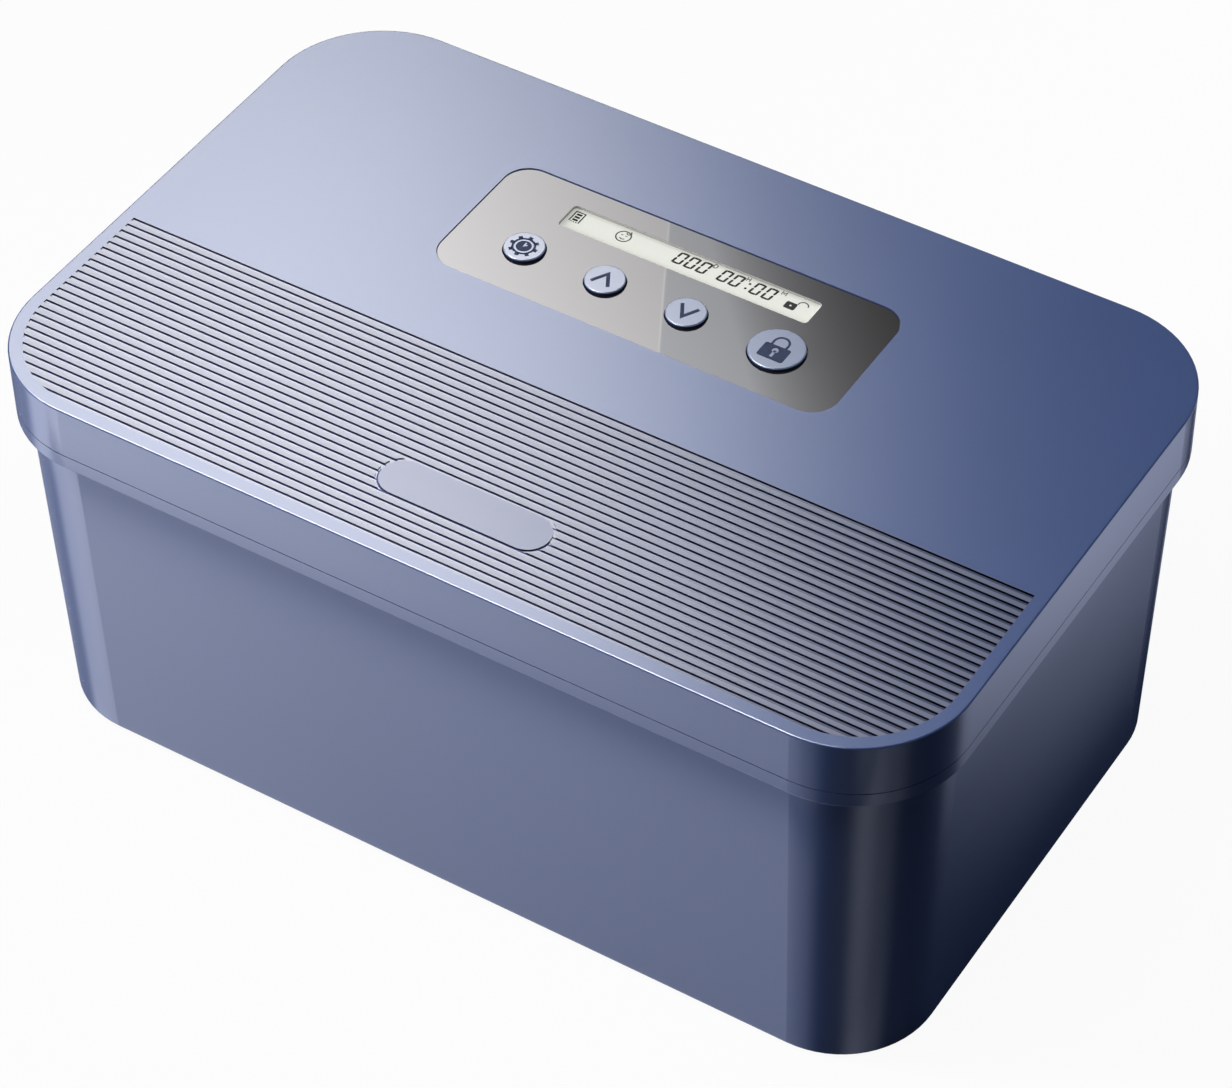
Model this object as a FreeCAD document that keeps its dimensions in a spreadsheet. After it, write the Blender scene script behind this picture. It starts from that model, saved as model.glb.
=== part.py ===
import FreeCAD, Part
import math
import os
import re
import Sketcher

# A timed lock container: a deep tub with a lift-off lid. The lid carries the display, four push
# buttons, two AA cells and a motor that drives two opposed latch bars into pockets in the tub.
# Millimetres. The origin is at the middle of the underside of the feet, +X runs along the long
# side, -Y is the front (the ribbed side of the lid) and +Z is up. The lid is stored closed and
# unlocked: the latch bars are drawn in.

SIZES = {
    # Tub: outer shell, flange under the lid and upstand inside the lid
    "tub_base": 0.8,
    "tub_bottom_length": 259.2,
    "tub_bottom_depth": 160.6,
    "tub_bottom_corner": 26.6,
    "tub_draft": 1.385,
    "tub_floor": 2.6,
    "tub_mouth_length": 260.0,
    "tub_mouth_depth": 161.2,
    "tub_mouth_corner": 26.0,
    "tub_edge_round": 1.0,
    "tub_inner_round": 3.0,
    "flange_bottom": 100.1,
    "flange_top": 104.3,
    "flange_round": 0.3,
    "upstand_top": 112.0,
    "upstand_gap": 0.4,
    "foot_radius": 6.0,
    "foot_recess": 0.5,
    "foot_fit": 0.05,
    "foot_inset_x": 98.0,
    "foot_inset_y": 50.0,
    # Lid shell
    "lid_length": 270.0,
    "lid_depth": 171.0,
    "lid_corner": 30.8,
    "lid_top": 120.0,
    "lid_edge": 104.55,
    "lid_plate": 2.5,
    "skirt_wall": 2.4,
    "lid_round": 0.4,
    "overlap": 0.5,
    "rest_gap": 0.05,
    "rest_rib": 2.0,
    # Ribbed field in the front of the lid, with a bare badge pad inside a moat
    "groove_count": 25,
    "groove_pitch": 2.64,
    "groove_width": 1.25,
    "groove_depth": 0.28,
    "groove_first": -17.1,
    "groove_margin": 3.75,
    "badge_y": -61.2,
    "badge_length": 48.0,
    "badge_depth": 12.0,
    "moat_width": 0.85,
    # Fascia, display window and display
    "fascia_y": 31.45,
    "fascia_length": 116.8,
    "fascia_depth": 44.2,
    "fascia_corner": 7.3,
    "fascia_recess": 0.3,
    "fascia_thickness": 0.9,
    "fascia_gap": 0.2,
    "window_x": 0.15,
    "window_y": 42.25,
    "window_length": 74.1,
    "window_depth": 8.9,
    "window_corner": 1.2,
    "window_gap": 0.1,
    "window_recess": 0.4,
    "window_thickness": 0.5,
    "display_top": 118.6,
    "display_length": 80.0,
    "display_depth": 13.0,
    "display_thickness": 2.4,
    "display_step": 0.45,
    "display_step_gap": 0.2,
    "display_gap": 0.4,
    "backlight_length": 76.0,
    "backlight_depth": 10.4,
    "frame_wall": 1.5,
    "strip_length": 74.0,
    "strip_depth": 1.1,
    # Buttons and their switches
    "button_y": 25.15,
    "set_x": -38.7,
    "up_x": -14.4,
    "down_x": 9.7,
    "lock_x": 36.15,
    "set_radius": 5.5,
    "arrow_radius": 5.4,
    "lock_radius": 7.5,
    "cap_gap": 0.3,
    "cap_rise": 0.7,
    "cap_round": 0.3,
    "cap_flange": 1.2,
    "cap_flange_bottom": 116.3,
    "cap_flange_thickness": 1.0,
    "nub_radius": 1.8,
    "nub_length": 0.45,
    "plunger_radius": 1.7,
    "plunger_bottom": 113.9,
    "plunger_top": 115.8,
    "plunger_gap": 0.15,
    "switch_side": 6.0,
    "switch_height": 3.5,
    "switch_bore_bottom": 113.4,
    # Control board
    "board_length": 114.0,
    "board_depth": 37.5,
    "board_y": 33.25,
    "board_bottom": 109.9,
    "board_thickness": 1.6,
    "board_corner": 2.0,
    "board_screw_x": 53.0,
    "board_screw_y": 15.0,
    "board_boss_radius": 2.6,
    "buzzer_radius": 4.8,
    "buzzer_height": 4.6,
    # Inner cover under the lid
    "tray_length": 257.6,
    "tray_depth": 158.8,
    "tray_corner": 25.0,
    "tray_bottom": 92.5,
    "tray_floor": 2.0,
    "tray_wall": 2.0,
    "tray_round": 2.0,
    "pillar_top": 106.0,
    "pillar_radius": 4.5,
    "pillar_x": 112.0,
    "pillar_y": 64.0,
    "well_radius": 3.2,
    "well_top": 104.0,
    "boss_radius": 3.6,
    # Screws
    "screw_radius": 1.4,
    "screw_fit": 0.05,
    "screw_head_radius": 2.7,
    "screw_head": 1.8,
    "screw_length": 8.0,
    "small_screw_radius": 1.0,
    "small_head_radius": 2.0,
    "small_head": 1.4,
    "small_length": 5.5,
    # Battery bay in the inner cover
    "bay_x": -76.0,
    "bay_y": -40.0,
    "bay_length": 59.2,
    "bay_depth": 31.2,
    "bay_wall": 1.6,
    "bay_roof": 110.4,
    "cell_radius": 7.25,
    "cell_length": 49.2,
    "cell_pitch": 15.2,
    "cell_axis": 102.6,
    "cell_nub_radius": 2.75,
    "cell_nub_length": 1.3,
    "contact_sheet": 0.4,
    "contact_width": 9.0,
    "contact_bottom": 96.0,
    "contact_gap": 0.05,
    "bump_radius": 3.0,
    "tab_width": 2.4,
    "tab_height": 4.0,
    "door_length": 62.0,
    "door_depth": 34.0,
    "door_thickness": 1.1,
    "door_gap": 0.3,
    "door_rim": 1.2,
    "door_corner": 2.0,
    # Latch bars
    "latch_bottom": 101.1,
    "latch_thickness": 3.0,
    "latch_tip": 127.0,
    "latch_tip_width": 16.0,
    "latch_arm_width": 8.0,
    "latch_travel": 5.0,
    "latch_play": 0.15,
    "latch_rack_outer": 13.5,
    "pocket_depth": 132.3,
    "pocket_width": 18.0,
    "guide_x": 80.0,
    "guide_length": 36.0,
    "rail_gap": 0.4,
    "rail_wall": 2.1,
    "rack_rest_x": 25.0,
    "rack_rest_length": 18.0,
    # Gear train
    "rack_module": 1.0,
    "rack_pinion_teeth": 16,
    "gear_module": 0.5,
    "pinion_teeth": 12,
    "drive_teeth": 48,
    "second_teeth": 36,
    "first_teeth": 30,
    "tooth_addendum": 0.8,
    "tooth_dedendum": 1.2,
    "tooth_backlash": 0.12,
    "low_level": 95.0,
    "high_level": 97.8,
    "gear_face": 2.4,
    "hub_radius": 4.2,
    "pin_radius": 1.0,
    "pin_fit": 0.02,
    "bore_fit": 0.06,
    "pin_bottom": 93.3,
    "gear_plate_bottom": 104.6,
    "gear_plate_thickness": 1.6,
    "gear_plate_length": 60.0,
    "gear_plate_depth": 57.0,
    "gear_plate_x": 6.0,
    "gear_plate_y": -2.5,
    "post_radius": 3.0,
    # Motor
    "motor_bottom": 98.4,
    "motor_length": 15.0,
    "motor_radius": 6.0,
    "motor_flats": 10.0,
    "motor_fit": 0.15,
    "shaft_radius": 0.5,
    "shaft_length": 8.0,
    "lead_radius": 0.6,
}

BUTTONS = {
    "set": ("set_x", "set_radius"),
    "up": ("up_x", "arrow_radius"),
    "down": ("down_x", "arrow_radius"),
    "lock": ("lock_x", "lock_radius"),
}

# Bearings of each gear axis from the axis before it, seen from above
SECOND_BEARING = -90.0
FIRST_BEARING = -45.0
MOTOR_BEARING = 0.0

# Posts that carry the gear plate
POSTS = ((-19.0, -22.0), (-19.0, 21.0), (19.0, 21.0), (31.0, -23.5))

Vector = FreeCAD.Vector
UP = Vector(0, 0, 1)

doc = FreeCAD.newDocument("timed_lock_container")
sheet = doc.addObject("Spreadsheet::Sheet", "Sizes")
for row, (alias, size) in enumerate(SIZES.items(), start=1):
    sheet.set(f"A{row}", alias)
    sheet.set(f"B{row}", str(size))
    sheet.setAlias(f"B{row}", alias)
doc.recompute()

nodes = {}


def sized(text):
    """Return an expression with each driving dimension in it pointed at the spreadsheet."""
    return re.sub(r"[a-z_]+", lambda word: "Sizes." + word[0] if word[0] in SIZES else word[0], text)


def number(text):
    """Return what an expression in the driving dimensions comes to now."""
    found = sheet.evalExpression(sized(text))
    return float(getattr(found, "Value", found))


def bind(item, **properties):
    """Tie properties of an object to expressions; Placement parts are given as x, y and z."""
    for name, text in properties.items():
        path = f"Placement.Base.{name}" if name in ("x", "y", "z") else name
        item.setExpression(path, sized(text))


def keep(name, item):
    """Record an object as the sub-part called name."""
    item.Label = name
    nodes[name] = item
    return item


# Sketches and PartDesign features


def new_body(name):
    return doc.addObject("PartDesign::Body", name)


def new_sketch(body, height):
    """A sketch on the body's own XY plane, lifted to a height."""
    sketch = body.newObject("Sketcher::SketchObject", body.Name + "_sketch")
    plane = next(item for item in body.Origin.OriginFeatures if item.Role == "XY_Plane")
    sketch.AttachmentSupport = [(plane, "")]
    sketch.MapMode = "FlatFace"
    sketch.setExpression("AttachmentOffset.Base.z", sized(height))
    return sketch


def measure(sketch, kind, geometry, text):
    """Add a dimension to a sketch, tied to an expression."""
    index = sketch.addConstraint(Sketcher.Constraint(kind, *geometry, number(text)))
    sketch.setExpression(f"Constraints[{index}]", sized(text))


def draw_circle(sketch, radius, x, y):
    spot = Vector(number(x), number(y), 0)
    index = sketch.addGeometry(Part.Circle(spot, UP, number(radius)), False)
    measure(sketch, "Radius", (index,), radius)
    measure(sketch, "DistanceX", (-1, 1, index, 3), x)
    measure(sketch, "DistanceY", (-1, 1, index, 3), y)


def draw_rectangle(sketch, length, depth, x="0", y="0", corner=None):
    """A rectangle centred on x, y, with rounded corners if a corner radius is given."""
    middle = Vector(number(x), number(y), 0)
    half_x = number(length) / 2
    half_y = number(depth) / 2
    radius = number(corner) if corner else 0.0
    flat_x = half_x - radius
    flat_y = half_y - radius
    ends = (
        ((-flat_x, half_y), (flat_x, half_y)),
        ((half_x, flat_y), (half_x, -flat_y)),
        ((flat_x, -half_y), (-flat_x, -half_y)),
        ((-half_x, -flat_y), (-half_x, flat_y)),
    )
    sides = []
    for start, end in ends:
        line = Part.LineSegment(middle + Vector(*start, 0), middle + Vector(*end, 0))
        sides.append(sketch.addGeometry(line, False))
    if corner:
        centres = ((flat_x, flat_y), (flat_x, -flat_y), (-flat_x, -flat_y), (-flat_x, flat_y))
        arcs = []
        for place, centre in enumerate(centres):
            circle = Part.Circle(middle + Vector(*centre, 0), UP, radius)
            arc = Part.ArcOfCircle(circle, math.radians(-90 * place), math.radians(90 - 90 * place))
            arcs.append(sketch.addGeometry(arc, False))
        for place in range(4):
            arc = arcs[place]
            after = sides[(place + 1) % 4]
            sketch.addConstraint(Sketcher.Constraint("Tangent", sides[place], 2, arc, 2))
            sketch.addConstraint(Sketcher.Constraint("Tangent", arc, 1, after, 1))
        for arc in arcs[1:]:
            sketch.addConstraint(Sketcher.Constraint("Equal", arcs[0], arc))
        measure(sketch, "Radius", (arcs[0],), corner)
    else:
        for place in range(4):
            after = sides[(place + 1) % 4]
            sketch.addConstraint(Sketcher.Constraint("Coincident", sides[place], 2, after, 1))
    for place in (0, 2):
        sketch.addConstraint(Sketcher.Constraint("Horizontal", sides[place]))
        sketch.addConstraint(Sketcher.Constraint("Vertical", sides[place + 1]))
    measure(sketch, "DistanceX", (sides[3], 1, sides[1], 1), length)
    measure(sketch, "DistanceY", (sides[2], 1, sides[0], 1), depth)
    measure(sketch, "DistanceX", (-1, 1, sides[1], 1), f"({x}) + ({length}) / 2")
    measure(sketch, "DistanceY", (-1, 1, sides[0], 1), f"({y}) + ({depth}) / 2")


def draw_outline(sketch, points):
    """A closed outline of straight lines, joined end to end."""
    corners = [Vector(x, y, 0) for x, y in points]
    first = sketch.GeometryCount
    for start, end in zip(corners, corners[1:] + corners[:1]):
        sketch.addGeometry(Part.LineSegment(start, end), False)
    for place in range(len(corners)):
        after = first + (place + 1) % len(corners)
        sketch.addConstraint(Sketcher.Constraint("Coincident", first + place, 2, after, 1))


def pad(body, sketch, length, draft="0"):
    """Raise a sketch upwards by a length, widening by a draft angle."""
    feature = body.newObject("PartDesign::Pad", body.Name + "_pad")
    feature.Profile = sketch
    bind(feature, Length=length, TaperAngle=draft)
    doc.recompute()
    return feature


def pocket(body, sketch, depth, upward=False, draft="0"):
    """Cut a sketch into the body, down from its plane or up from it, and check that it cut."""
    before = body.Shape.Volume
    feature = body.newObject("PartDesign::Pocket", body.Name + "_pocket")
    feature.Profile = sketch
    feature.Reversed = upward
    bind(feature, Length=depth, TaperAngle=draft)
    doc.recompute()
    if body.Shape.Volume >= before:
        raise RuntimeError(f"{feature.Name} cuts nothing")
    return feature


def round_edges(body, radius, chosen):
    """Fillet each edge of the body that chosen accepts."""
    tip = body.Tip
    names = [f"Edge{place}" for place, edge in enumerate(tip.Shape.Edges, start=1) if chosen(edge)]
    if not names:
        raise RuntimeError(f"no edge to round on {body.Name}")
    feature = body.newObject("PartDesign::Fillet", body.Name + "_round")
    feature.Base = (tip, names)
    bind(feature, Radius=radius)
    doc.recompute()
    return feature


def lies_at(height):
    """A test for edges that lie flat at one height."""
    level = number(height)

    def test(edge):
        bounds = edge.BoundBox
        return abs(bounds.ZMin - level) < 1e-4 and abs(bounds.ZMax - level) < 1e-4

    return test


# Part primitives and booleans


def box(name, length, depth, height, x, y, z):
    """A box centred on x, y that stands on z."""
    solid = doc.addObject("Part::Box", name)
    bind(solid, Length=length, Width=depth, Height=height)
    bind(solid, x=f"({x}) - ({length}) / 2", y=f"({y}) - ({depth}) / 2", z=z)
    return solid


def cylinder(name, radius, height, x, y, z):
    """An upright cylinder that stands on z."""
    solid = doc.addObject("Part::Cylinder", name)
    bind(solid, Radius=radius, Height=height, x=x, y=y, z=z)
    return solid


def join(name, parts):
    whole = doc.addObject("Part::MultiFuse", name)
    whole.Shapes = parts
    return whole


def common(name, first, second):
    shared = doc.addObject("Part::MultiCommon", name)
    shared.Shapes = [first, second]
    return shared


def cut(name, base, tool):
    rest = doc.addObject("Part::Cut", name)
    rest.Base = base
    rest.Tool = tool
    return rest


def group(name, parts):
    """Separate solids that share one sub-part."""
    several = doc.addObject("Part::Compound", name)
    several.Links = parts
    return several


def screw(name, kind, x, y, seat, points_up):
    """A screw with a crossed recess, whose head bears on the plane at height seat."""
    radius, head_radius, head, length = {
        "large": ("screw_radius", "screw_head_radius", "screw_head", "screw_length"),
        "small": ("small_screw_radius", "small_head_radius", "small_head", "small_length"),
    }[kind]
    if points_up:
        head_z = f"({seat}) - {head}"
        shank_z = seat
        recess_z = head_z
    else:
        head_z = seat
        shank_z = f"({seat}) - {length}"
        recess_z = f"({seat}) + {head} / 2"
    shank = cylinder(name + "_shank", radius, length, x, y, shank_z)
    disc = cylinder(name + "_head", head_radius, head, x, y, head_z)
    slots = []
    for place, (long_side, short_side) in enumerate(((1.3, 0.3), (0.3, 1.3))):
        size_x = f"{head_radius} * {long_side}"
        size_y = f"{head_radius} * {short_side}"
        slots.append(box(f"{name}_slot{place}", size_x, size_y, f"{head} / 2", x, y, recess_z))
    return cut(name, join(name + "_blank", [shank, disc]), join(name + "_cross", slots))


# Gears: the tooth's half angle at a radius r is its half angle at the pitch circle plus
# inv(pressure angle) - inv(acos(base radius / r)), where inv(a) = tan(a) - a.

PRESSURE_ANGLE = math.radians(20)
FLANK_STEPS = 5


def involute(angle):
    return math.tan(angle) - angle


def tooth_outline(module, teeth, bearing):
    """The outline of a spur wheel with one tooth pointing along a bearing in degrees."""
    pitch = module * teeth / 2
    base = pitch * math.cos(PRESSURE_ANGLE)
    tip = pitch + number("tooth_addendum") * module
    root = pitch - number("tooth_dedendum") * module
    half_at_pitch = math.pi / (2 * teeth) - number("tooth_backlash") * module / (2 * pitch)

    def half_angle(radius):
        rolled = math.acos(min(1.0, base / radius))
        return half_at_pitch + involute(PRESSURE_ANGLE) - involute(rolled)

    start = max(root, base)
    flank = [(radius, half_angle(radius)) for radius in
             [start + (tip - start) * step / FLANK_STEPS for step in range(FLANK_STEPS + 1)]]
    if root < base:
        flank.insert(0, (root, half_angle(base)))
    points = []
    for tooth in range(teeth):
        middle = math.radians(bearing) + 2 * math.pi * tooth / teeth
        for radius, half in flank:
            points.append((radius * math.cos(middle - half), radius * math.sin(middle - half)))
        for radius, half in reversed(flank):
            points.append((radius * math.cos(middle + half), radius * math.sin(middle + half)))
    return points


def gap_bearing(teeth, bearing):
    """The bearing of a tooth, for a wheel that has a gap pointing along a bearing."""
    return bearing + 180.0 / teeth


def prism(points, bottom, height):
    """A straight-sided solid raised from an outline of points."""
    corners = [Vector(x, y, bottom) for x, y in points]
    return Part.Face(Part.makePolygon(corners + corners[:1])).extrude(Vector(0, 0, height))


def feature(name, shape, place=Vector(0, 0, 0)):
    """A document object with a shape of its own, placed after the shape is set."""
    item = doc.addObject("Part::Feature", name)
    item.Shape = shape
    item.Placement = FreeCAD.Placement(place, FreeCAD.Rotation())
    return item


def wheel(name, place, bore, levels, hub=None):
    """A gear of stacked wheels; levels holds module, teeth, tooth bearing, bottom and height."""
    discs = [prism(tooth_outline(module, teeth, bearing), bottom, height)
             for module, teeth, bearing, bottom, height in levels]
    if hub:
        radius, bottom, height = hub
        discs.append(Part.makeCylinder(radius, height, Vector(0, 0, bottom)))
    solid = discs[0].fuse(discs[1:]) if discs[1:] else discs[0]
    bounds = solid.BoundBox
    drill = Part.makeCylinder(bore, bounds.ZLength + 2, Vector(0, 0, bounds.ZMin - 1))
    return keep(name, feature(name, solid.cut(drill).removeSplitter(), place))


# Tub

tub = new_body("tub_body")
tub_bottom = new_sketch(tub, "tub_base")
draw_rectangle(tub_bottom, "tub_bottom_length", "tub_bottom_depth", corner="tub_bottom_corner")
pad(tub, tub_bottom, "flange_bottom - tub_base", draft="tub_draft")
round_edges(tub, "tub_edge_round", lies_at("tub_base"))
flange = new_sketch(tub, "flange_bottom")
draw_rectangle(flange, "lid_length", "lid_depth", corner="lid_corner")
pad(tub, flange, "flange_top - flange_bottom")
flange_reach = number("lid_length / 2 - 1.5")
flange_front = number("lid_depth / 2 - 1.5")


def outer_flange_edge(edge):
    """True for the lower outer edges of the flange."""
    bounds = edge.BoundBox
    reach = max(bounds.XMax, -bounds.XMin) > flange_reach or max(bounds.YMax, -bounds.YMin) > flange_front
    return reach and lies_at("flange_bottom")(edge)


round_edges(tub, "flange_round", outer_flange_edge)
upstand = new_sketch(tub, "flange_top")
inset = "2 * (skirt_wall + upstand_gap)"
draw_rectangle(upstand, f"lid_length - {inset}", f"lid_depth - {inset}",
               corner="lid_corner - skirt_wall - upstand_gap")
pad(tub, upstand, "upstand_top - flange_top")
hollow = new_sketch(tub, "upstand_top")
draw_rectangle(hollow, "tub_mouth_length", "tub_mouth_depth", corner="tub_mouth_corner")
pocket(tub, hollow, "upstand_top - tub_base - tub_floor", draft="-tub_draft")
round_edges(tub, "tub_inner_round", lies_at("tub_base + tub_floor"))
latch_pockets = new_sketch(tub, "latch_bottom - 0.2")
for side in ("-1", "1"):
    draw_rectangle(latch_pockets, "8", "pocket_width", x=f"{side} * (pocket_depth - 4)")
pocket(tub, latch_pockets, "flange_top - latch_bottom + 0.2", upward=True)
foot_recesses = new_sketch(tub, "tub_base")
for x_side in ("-1", "1"):
    for y_side in ("-1", "1"):
        draw_circle(foot_recesses, "foot_radius + foot_fit",
                    f"{x_side} * foot_inset_x", f"{y_side} * foot_inset_y")
pocket(tub, foot_recesses, "foot_recess", upward=True)
keep("tub_body", tub)

for y_name, y_side in (("front", "-1"), ("back", "1")):
    for x_name, x_side in (("left", "-1"), ("right", "1")):
        name = f"foot_{y_name}_{x_name}"
        foot = cylinder(name, "foot_radius", "tub_base + foot_recess",
                        f"{x_side} * foot_inset_x", f"{y_side} * foot_inset_y", "0")
        keep(name, foot)

# Lid shell: plate and skirt, the recess for the fascia, openings for the display and the buttons,
# and bosses and ribs that hang from the plate

lid = new_body("lid_shell")
lid_outline = new_sketch(lid, "lid_edge")
draw_rectangle(lid_outline, "lid_length", "lid_depth", corner="lid_corner")
pad(lid, lid_outline, "lid_top - lid_edge")
round_edges(lid, "lid_round", lies_at("lid_top"))
skirt = new_sketch(lid, "lid_edge")
draw_rectangle(skirt, "lid_length - 2 * skirt_wall", "lid_depth - 2 * skirt_wall",
               corner="lid_corner - skirt_wall")
pocket(lid, skirt, "lid_top - lid_plate - lid_edge", upward=True)
fascia_seat = new_sketch(lid, "lid_top")
draw_rectangle(fascia_seat, "fascia_length + 2 * fascia_gap", "fascia_depth + 2 * fascia_gap",
               y="fascia_y", corner="fascia_corner + fascia_gap")
pocket(lid, fascia_seat, "fascia_recess + fascia_thickness")
openings = new_sketch(lid, "lid_top - fascia_recess - fascia_thickness")
draw_rectangle(openings, "display_length + 2 * display_gap", "display_depth + 2 * display_gap",
               x="window_x", y="window_y")
for button_x, radius in BUTTONS.values():
    draw_circle(openings, f"{radius} + cap_gap", button_x, "button_y")
pocket(lid, openings, "lid_plate")

PILLARS = [(x_side, y_side) for x_side in ("-1", "0", "1") for y_side in ("-1", "1")]
BOARD_SCREWS = [(x_side, y_side) for x_side in ("-1", "1") for y_side in ("-1", "1")]


def hang(bottom, draw):
    """Add what draw sketches, from a height up into the lid's plate."""
    sketch = new_sketch(lid, bottom)
    draw(sketch)
    pad(lid, sketch, f"lid_top - lid_plate - ({bottom}) + overlap")


def draw_bosses(sketch):
    for x_side, y_side in PILLARS:
        draw_circle(sketch, "boss_radius", f"{x_side} * pillar_x", f"{y_side} * pillar_y")


def draw_board_bosses(sketch):
    for x_side, y_side in BOARD_SCREWS:
        draw_circle(sketch, "board_boss_radius", f"{x_side} * board_screw_x",
                    f"board_y + ({y_side} * board_screw_y)")


def draw_hold_downs(sketch):
    for side in ("-1", "1"):
        draw_rectangle(sketch, "3", "latch_arm_width + 2 * rail_gap + 2 * rail_wall", x=f"{side} * guide_x")


def draw_rest_ribs(sketch):
    reach = "upstand_gap + 2.6"
    for side in ("-1", "1"):
        for place in ("-1", "1"):
            draw_rectangle(sketch, f"{reach} + overlap", "rest_rib",
                           x=f"{side} * (lid_length / 2 - skirt_wall - ({reach} - overlap) / 2)",
                           y=f"{place} * lid_depth / 5")
            draw_rectangle(sketch, "rest_rib", f"{reach} + overlap", x=f"{place} * lid_length / 4",
                           y=f"{side} * (lid_depth / 2 - skirt_wall - ({reach} - overlap) / 2)")


hang("pillar_top", draw_bosses)
hang("board_bottom + board_thickness", draw_board_bosses)
hang("latch_bottom + latch_thickness + 0.5", draw_hold_downs)
hang("upstand_top + rest_gap", draw_rest_ribs)
boss_holes = new_sketch(lid, "pillar_top")
for x_side, y_side in PILLARS:
    draw_circle(boss_holes, "screw_radius + screw_fit", f"{x_side} * pillar_x", f"{y_side} * pillar_y")
pocket(lid, boss_holes, "screw_length", upward=True)
board_holes = new_sketch(lid, "board_bottom + board_thickness")
for x_side, y_side in BOARD_SCREWS:
    draw_circle(board_holes, "small_screw_radius + screw_fit", f"{x_side} * board_screw_x",
                f"board_y + ({y_side} * board_screw_y)")
pocket(lid, board_holes, "small_length", upward=True)

# Ribbed field: straight grooves ended by an outline set in from the lid's edge, and a moat that
# leaves the badge pad standing

cutter_height = "groove_depth + overlap"
cutter_z = "lid_top - groove_depth"
grooves = []
for place in range(SIZES["groove_count"]):
    middle = f"groove_first - groove_width / 2 - {place} * groove_pitch"
    grooves.append(box("groove", "lid_length", "groove_width", cutter_height, "0", middle, cutter_z))
field = new_body("groove_field")
field_outline = new_sketch(field, cutter_z)
draw_rectangle(field_outline, "lid_length - 2 * groove_margin", "lid_depth - 2 * groove_margin",
               corner="lid_corner - groove_margin")
pad(field, field_outline, cutter_height)


def stadium(name, margin):
    """A bar with round ends around the badge pad, wider than it by a margin on each side."""
    shape = new_body(name)
    outline = new_sketch(shape, cutter_z)
    draw_rectangle(outline, f"badge_length + 2 * {margin}", f"badge_depth + 2 * {margin}",
                   y="badge_y", corner=f"badge_depth / 2 + {margin} - 0.01")
    pad(shape, outline, cutter_height)
    return shape


moat_outer = stadium("moat_outer", "moat_width")
badge_pad = stadium("badge_pad", "0")
moat = cut("moat", moat_outer, badge_pad)
clipped = common("grooves_clipped", group("grooves", grooves), field)
rib_cutter = join("rib_cutter", [cut("grooves_open", clipped, moat_outer), moat])
keep("lid_cover", cut("lid_cover", lid, rib_cutter))

# Fascia and display

fascia = new_body("fascia_panel")
fascia_outline = new_sketch(fascia, "lid_top - fascia_recess - fascia_thickness")
draw_rectangle(fascia_outline, "fascia_length", "fascia_depth", y="fascia_y", corner="fascia_corner")
pad(fascia, fascia_outline, "fascia_thickness")
fascia_openings = new_sketch(fascia, "lid_top - fascia_recess")
draw_rectangle(fascia_openings, "window_length", "window_depth", x="window_x", y="window_y",
               corner="window_corner")
for button_x, radius in BUTTONS.values():
    draw_circle(fascia_openings, f"{radius} + cap_gap", button_x, "button_y")
pocket(fascia, fascia_openings, "fascia_thickness")
keep("fascia_panel", fascia)

window = new_body("display_window")
window_outline = new_sketch(window, "lid_top - window_recess - window_thickness")
draw_rectangle(window_outline, "window_length - 2 * window_gap", "window_depth - 2 * window_gap",
               x="window_x", y="window_y", corner="window_corner - window_gap")
pad(window, window_outline, "window_thickness")
keep("display_window", window)

display = new_body("display_glass")
display_outline = new_sketch(display, "display_top - display_thickness")
draw_rectangle(display_outline, "display_length", "display_depth", x="window_x", y="window_y")
pad(display, display_outline, "display_thickness")
display_face = new_sketch(display, "display_top")
draw_rectangle(display_face, "window_length - 2 * display_step_gap",
               "window_depth - 2 * display_step_gap", x="window_x", y="window_y",
               corner="window_corner - display_step_gap")
pad(display, display_face, "display_step")
keep("display_glass", display)
board_top = "board_bottom + board_thickness"
backlight_height = f"display_top - display_thickness - ({board_top})"
backlight = box("display_backlight", "backlight_length", "backlight_depth", backlight_height,
                "window_x", "window_y", board_top)
keep("display_backlight", backlight)
for name, side in (("front", "-1"), ("back", "1")):
    strip = box(f"contact_strip_{name}", "strip_length", "strip_depth", backlight_height, "window_x",
                f"window_y + {side} * (backlight_depth / 2 + strip_depth / 2 + 0.1)", board_top)
    keep(f"contact_strip_{name}", strip)
frame = new_body("display_frame")
frame_outline = new_sketch(frame, board_top)
inner_length = "display_length + display_gap"
inner_depth = "display_depth + display_gap"
draw_rectangle(frame_outline, f"{inner_length} + 2 * frame_wall", f"{inner_depth} + 2 * frame_wall",
               x="window_x", y="window_y")
draw_rectangle(frame_outline, inner_length, inner_depth, x="window_x", y="window_y")
pad(frame, frame_outline, f"lid_top - lid_plate - 0.2 - ({board_top})")
keep("display_frame", frame)

# Control board and what is soldered to it

board = new_body("control_board")
board_outline = new_sketch(board, "board_bottom")
draw_rectangle(board_outline, "board_length", "board_depth", y="board_y", corner="board_corner")
for x_side, y_side in BOARD_SCREWS:
    draw_circle(board_outline, "small_screw_radius + 0.2", f"{x_side} * board_screw_x",
                f"board_y + ({y_side} * board_screw_y)")
pad(board, board_outline, "board_thickness")
keep("control_board", board)

controller = box("controller_chip", "10", "10", "1.2", "-8", "34", "board_bottom - 1.2")
keep("controller_chip", controller)
motor_driver = box("motor_driver_chip", "5", "4", "1.4", "24", "28", "board_bottom - 1.4")
keep("motor_driver_chip", motor_driver)
crystal = box("clock_crystal", "8", "2.6", "2", "-24", "36", "board_bottom - 2")
keep("clock_crystal", crystal)
buzzer_bottom = "board_bottom - buzzer_height"
buzzer_blank = cylinder("buzzer_blank", "buzzer_radius", "buzzer_height", "40", "40", buzzer_bottom)
buzzer_hole = cylinder("buzzer_hole", "0.8", "1.5", "40", "40", buzzer_bottom)
keep("buzzer", cut("buzzer", buzzer_blank, buzzer_hole))

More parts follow.
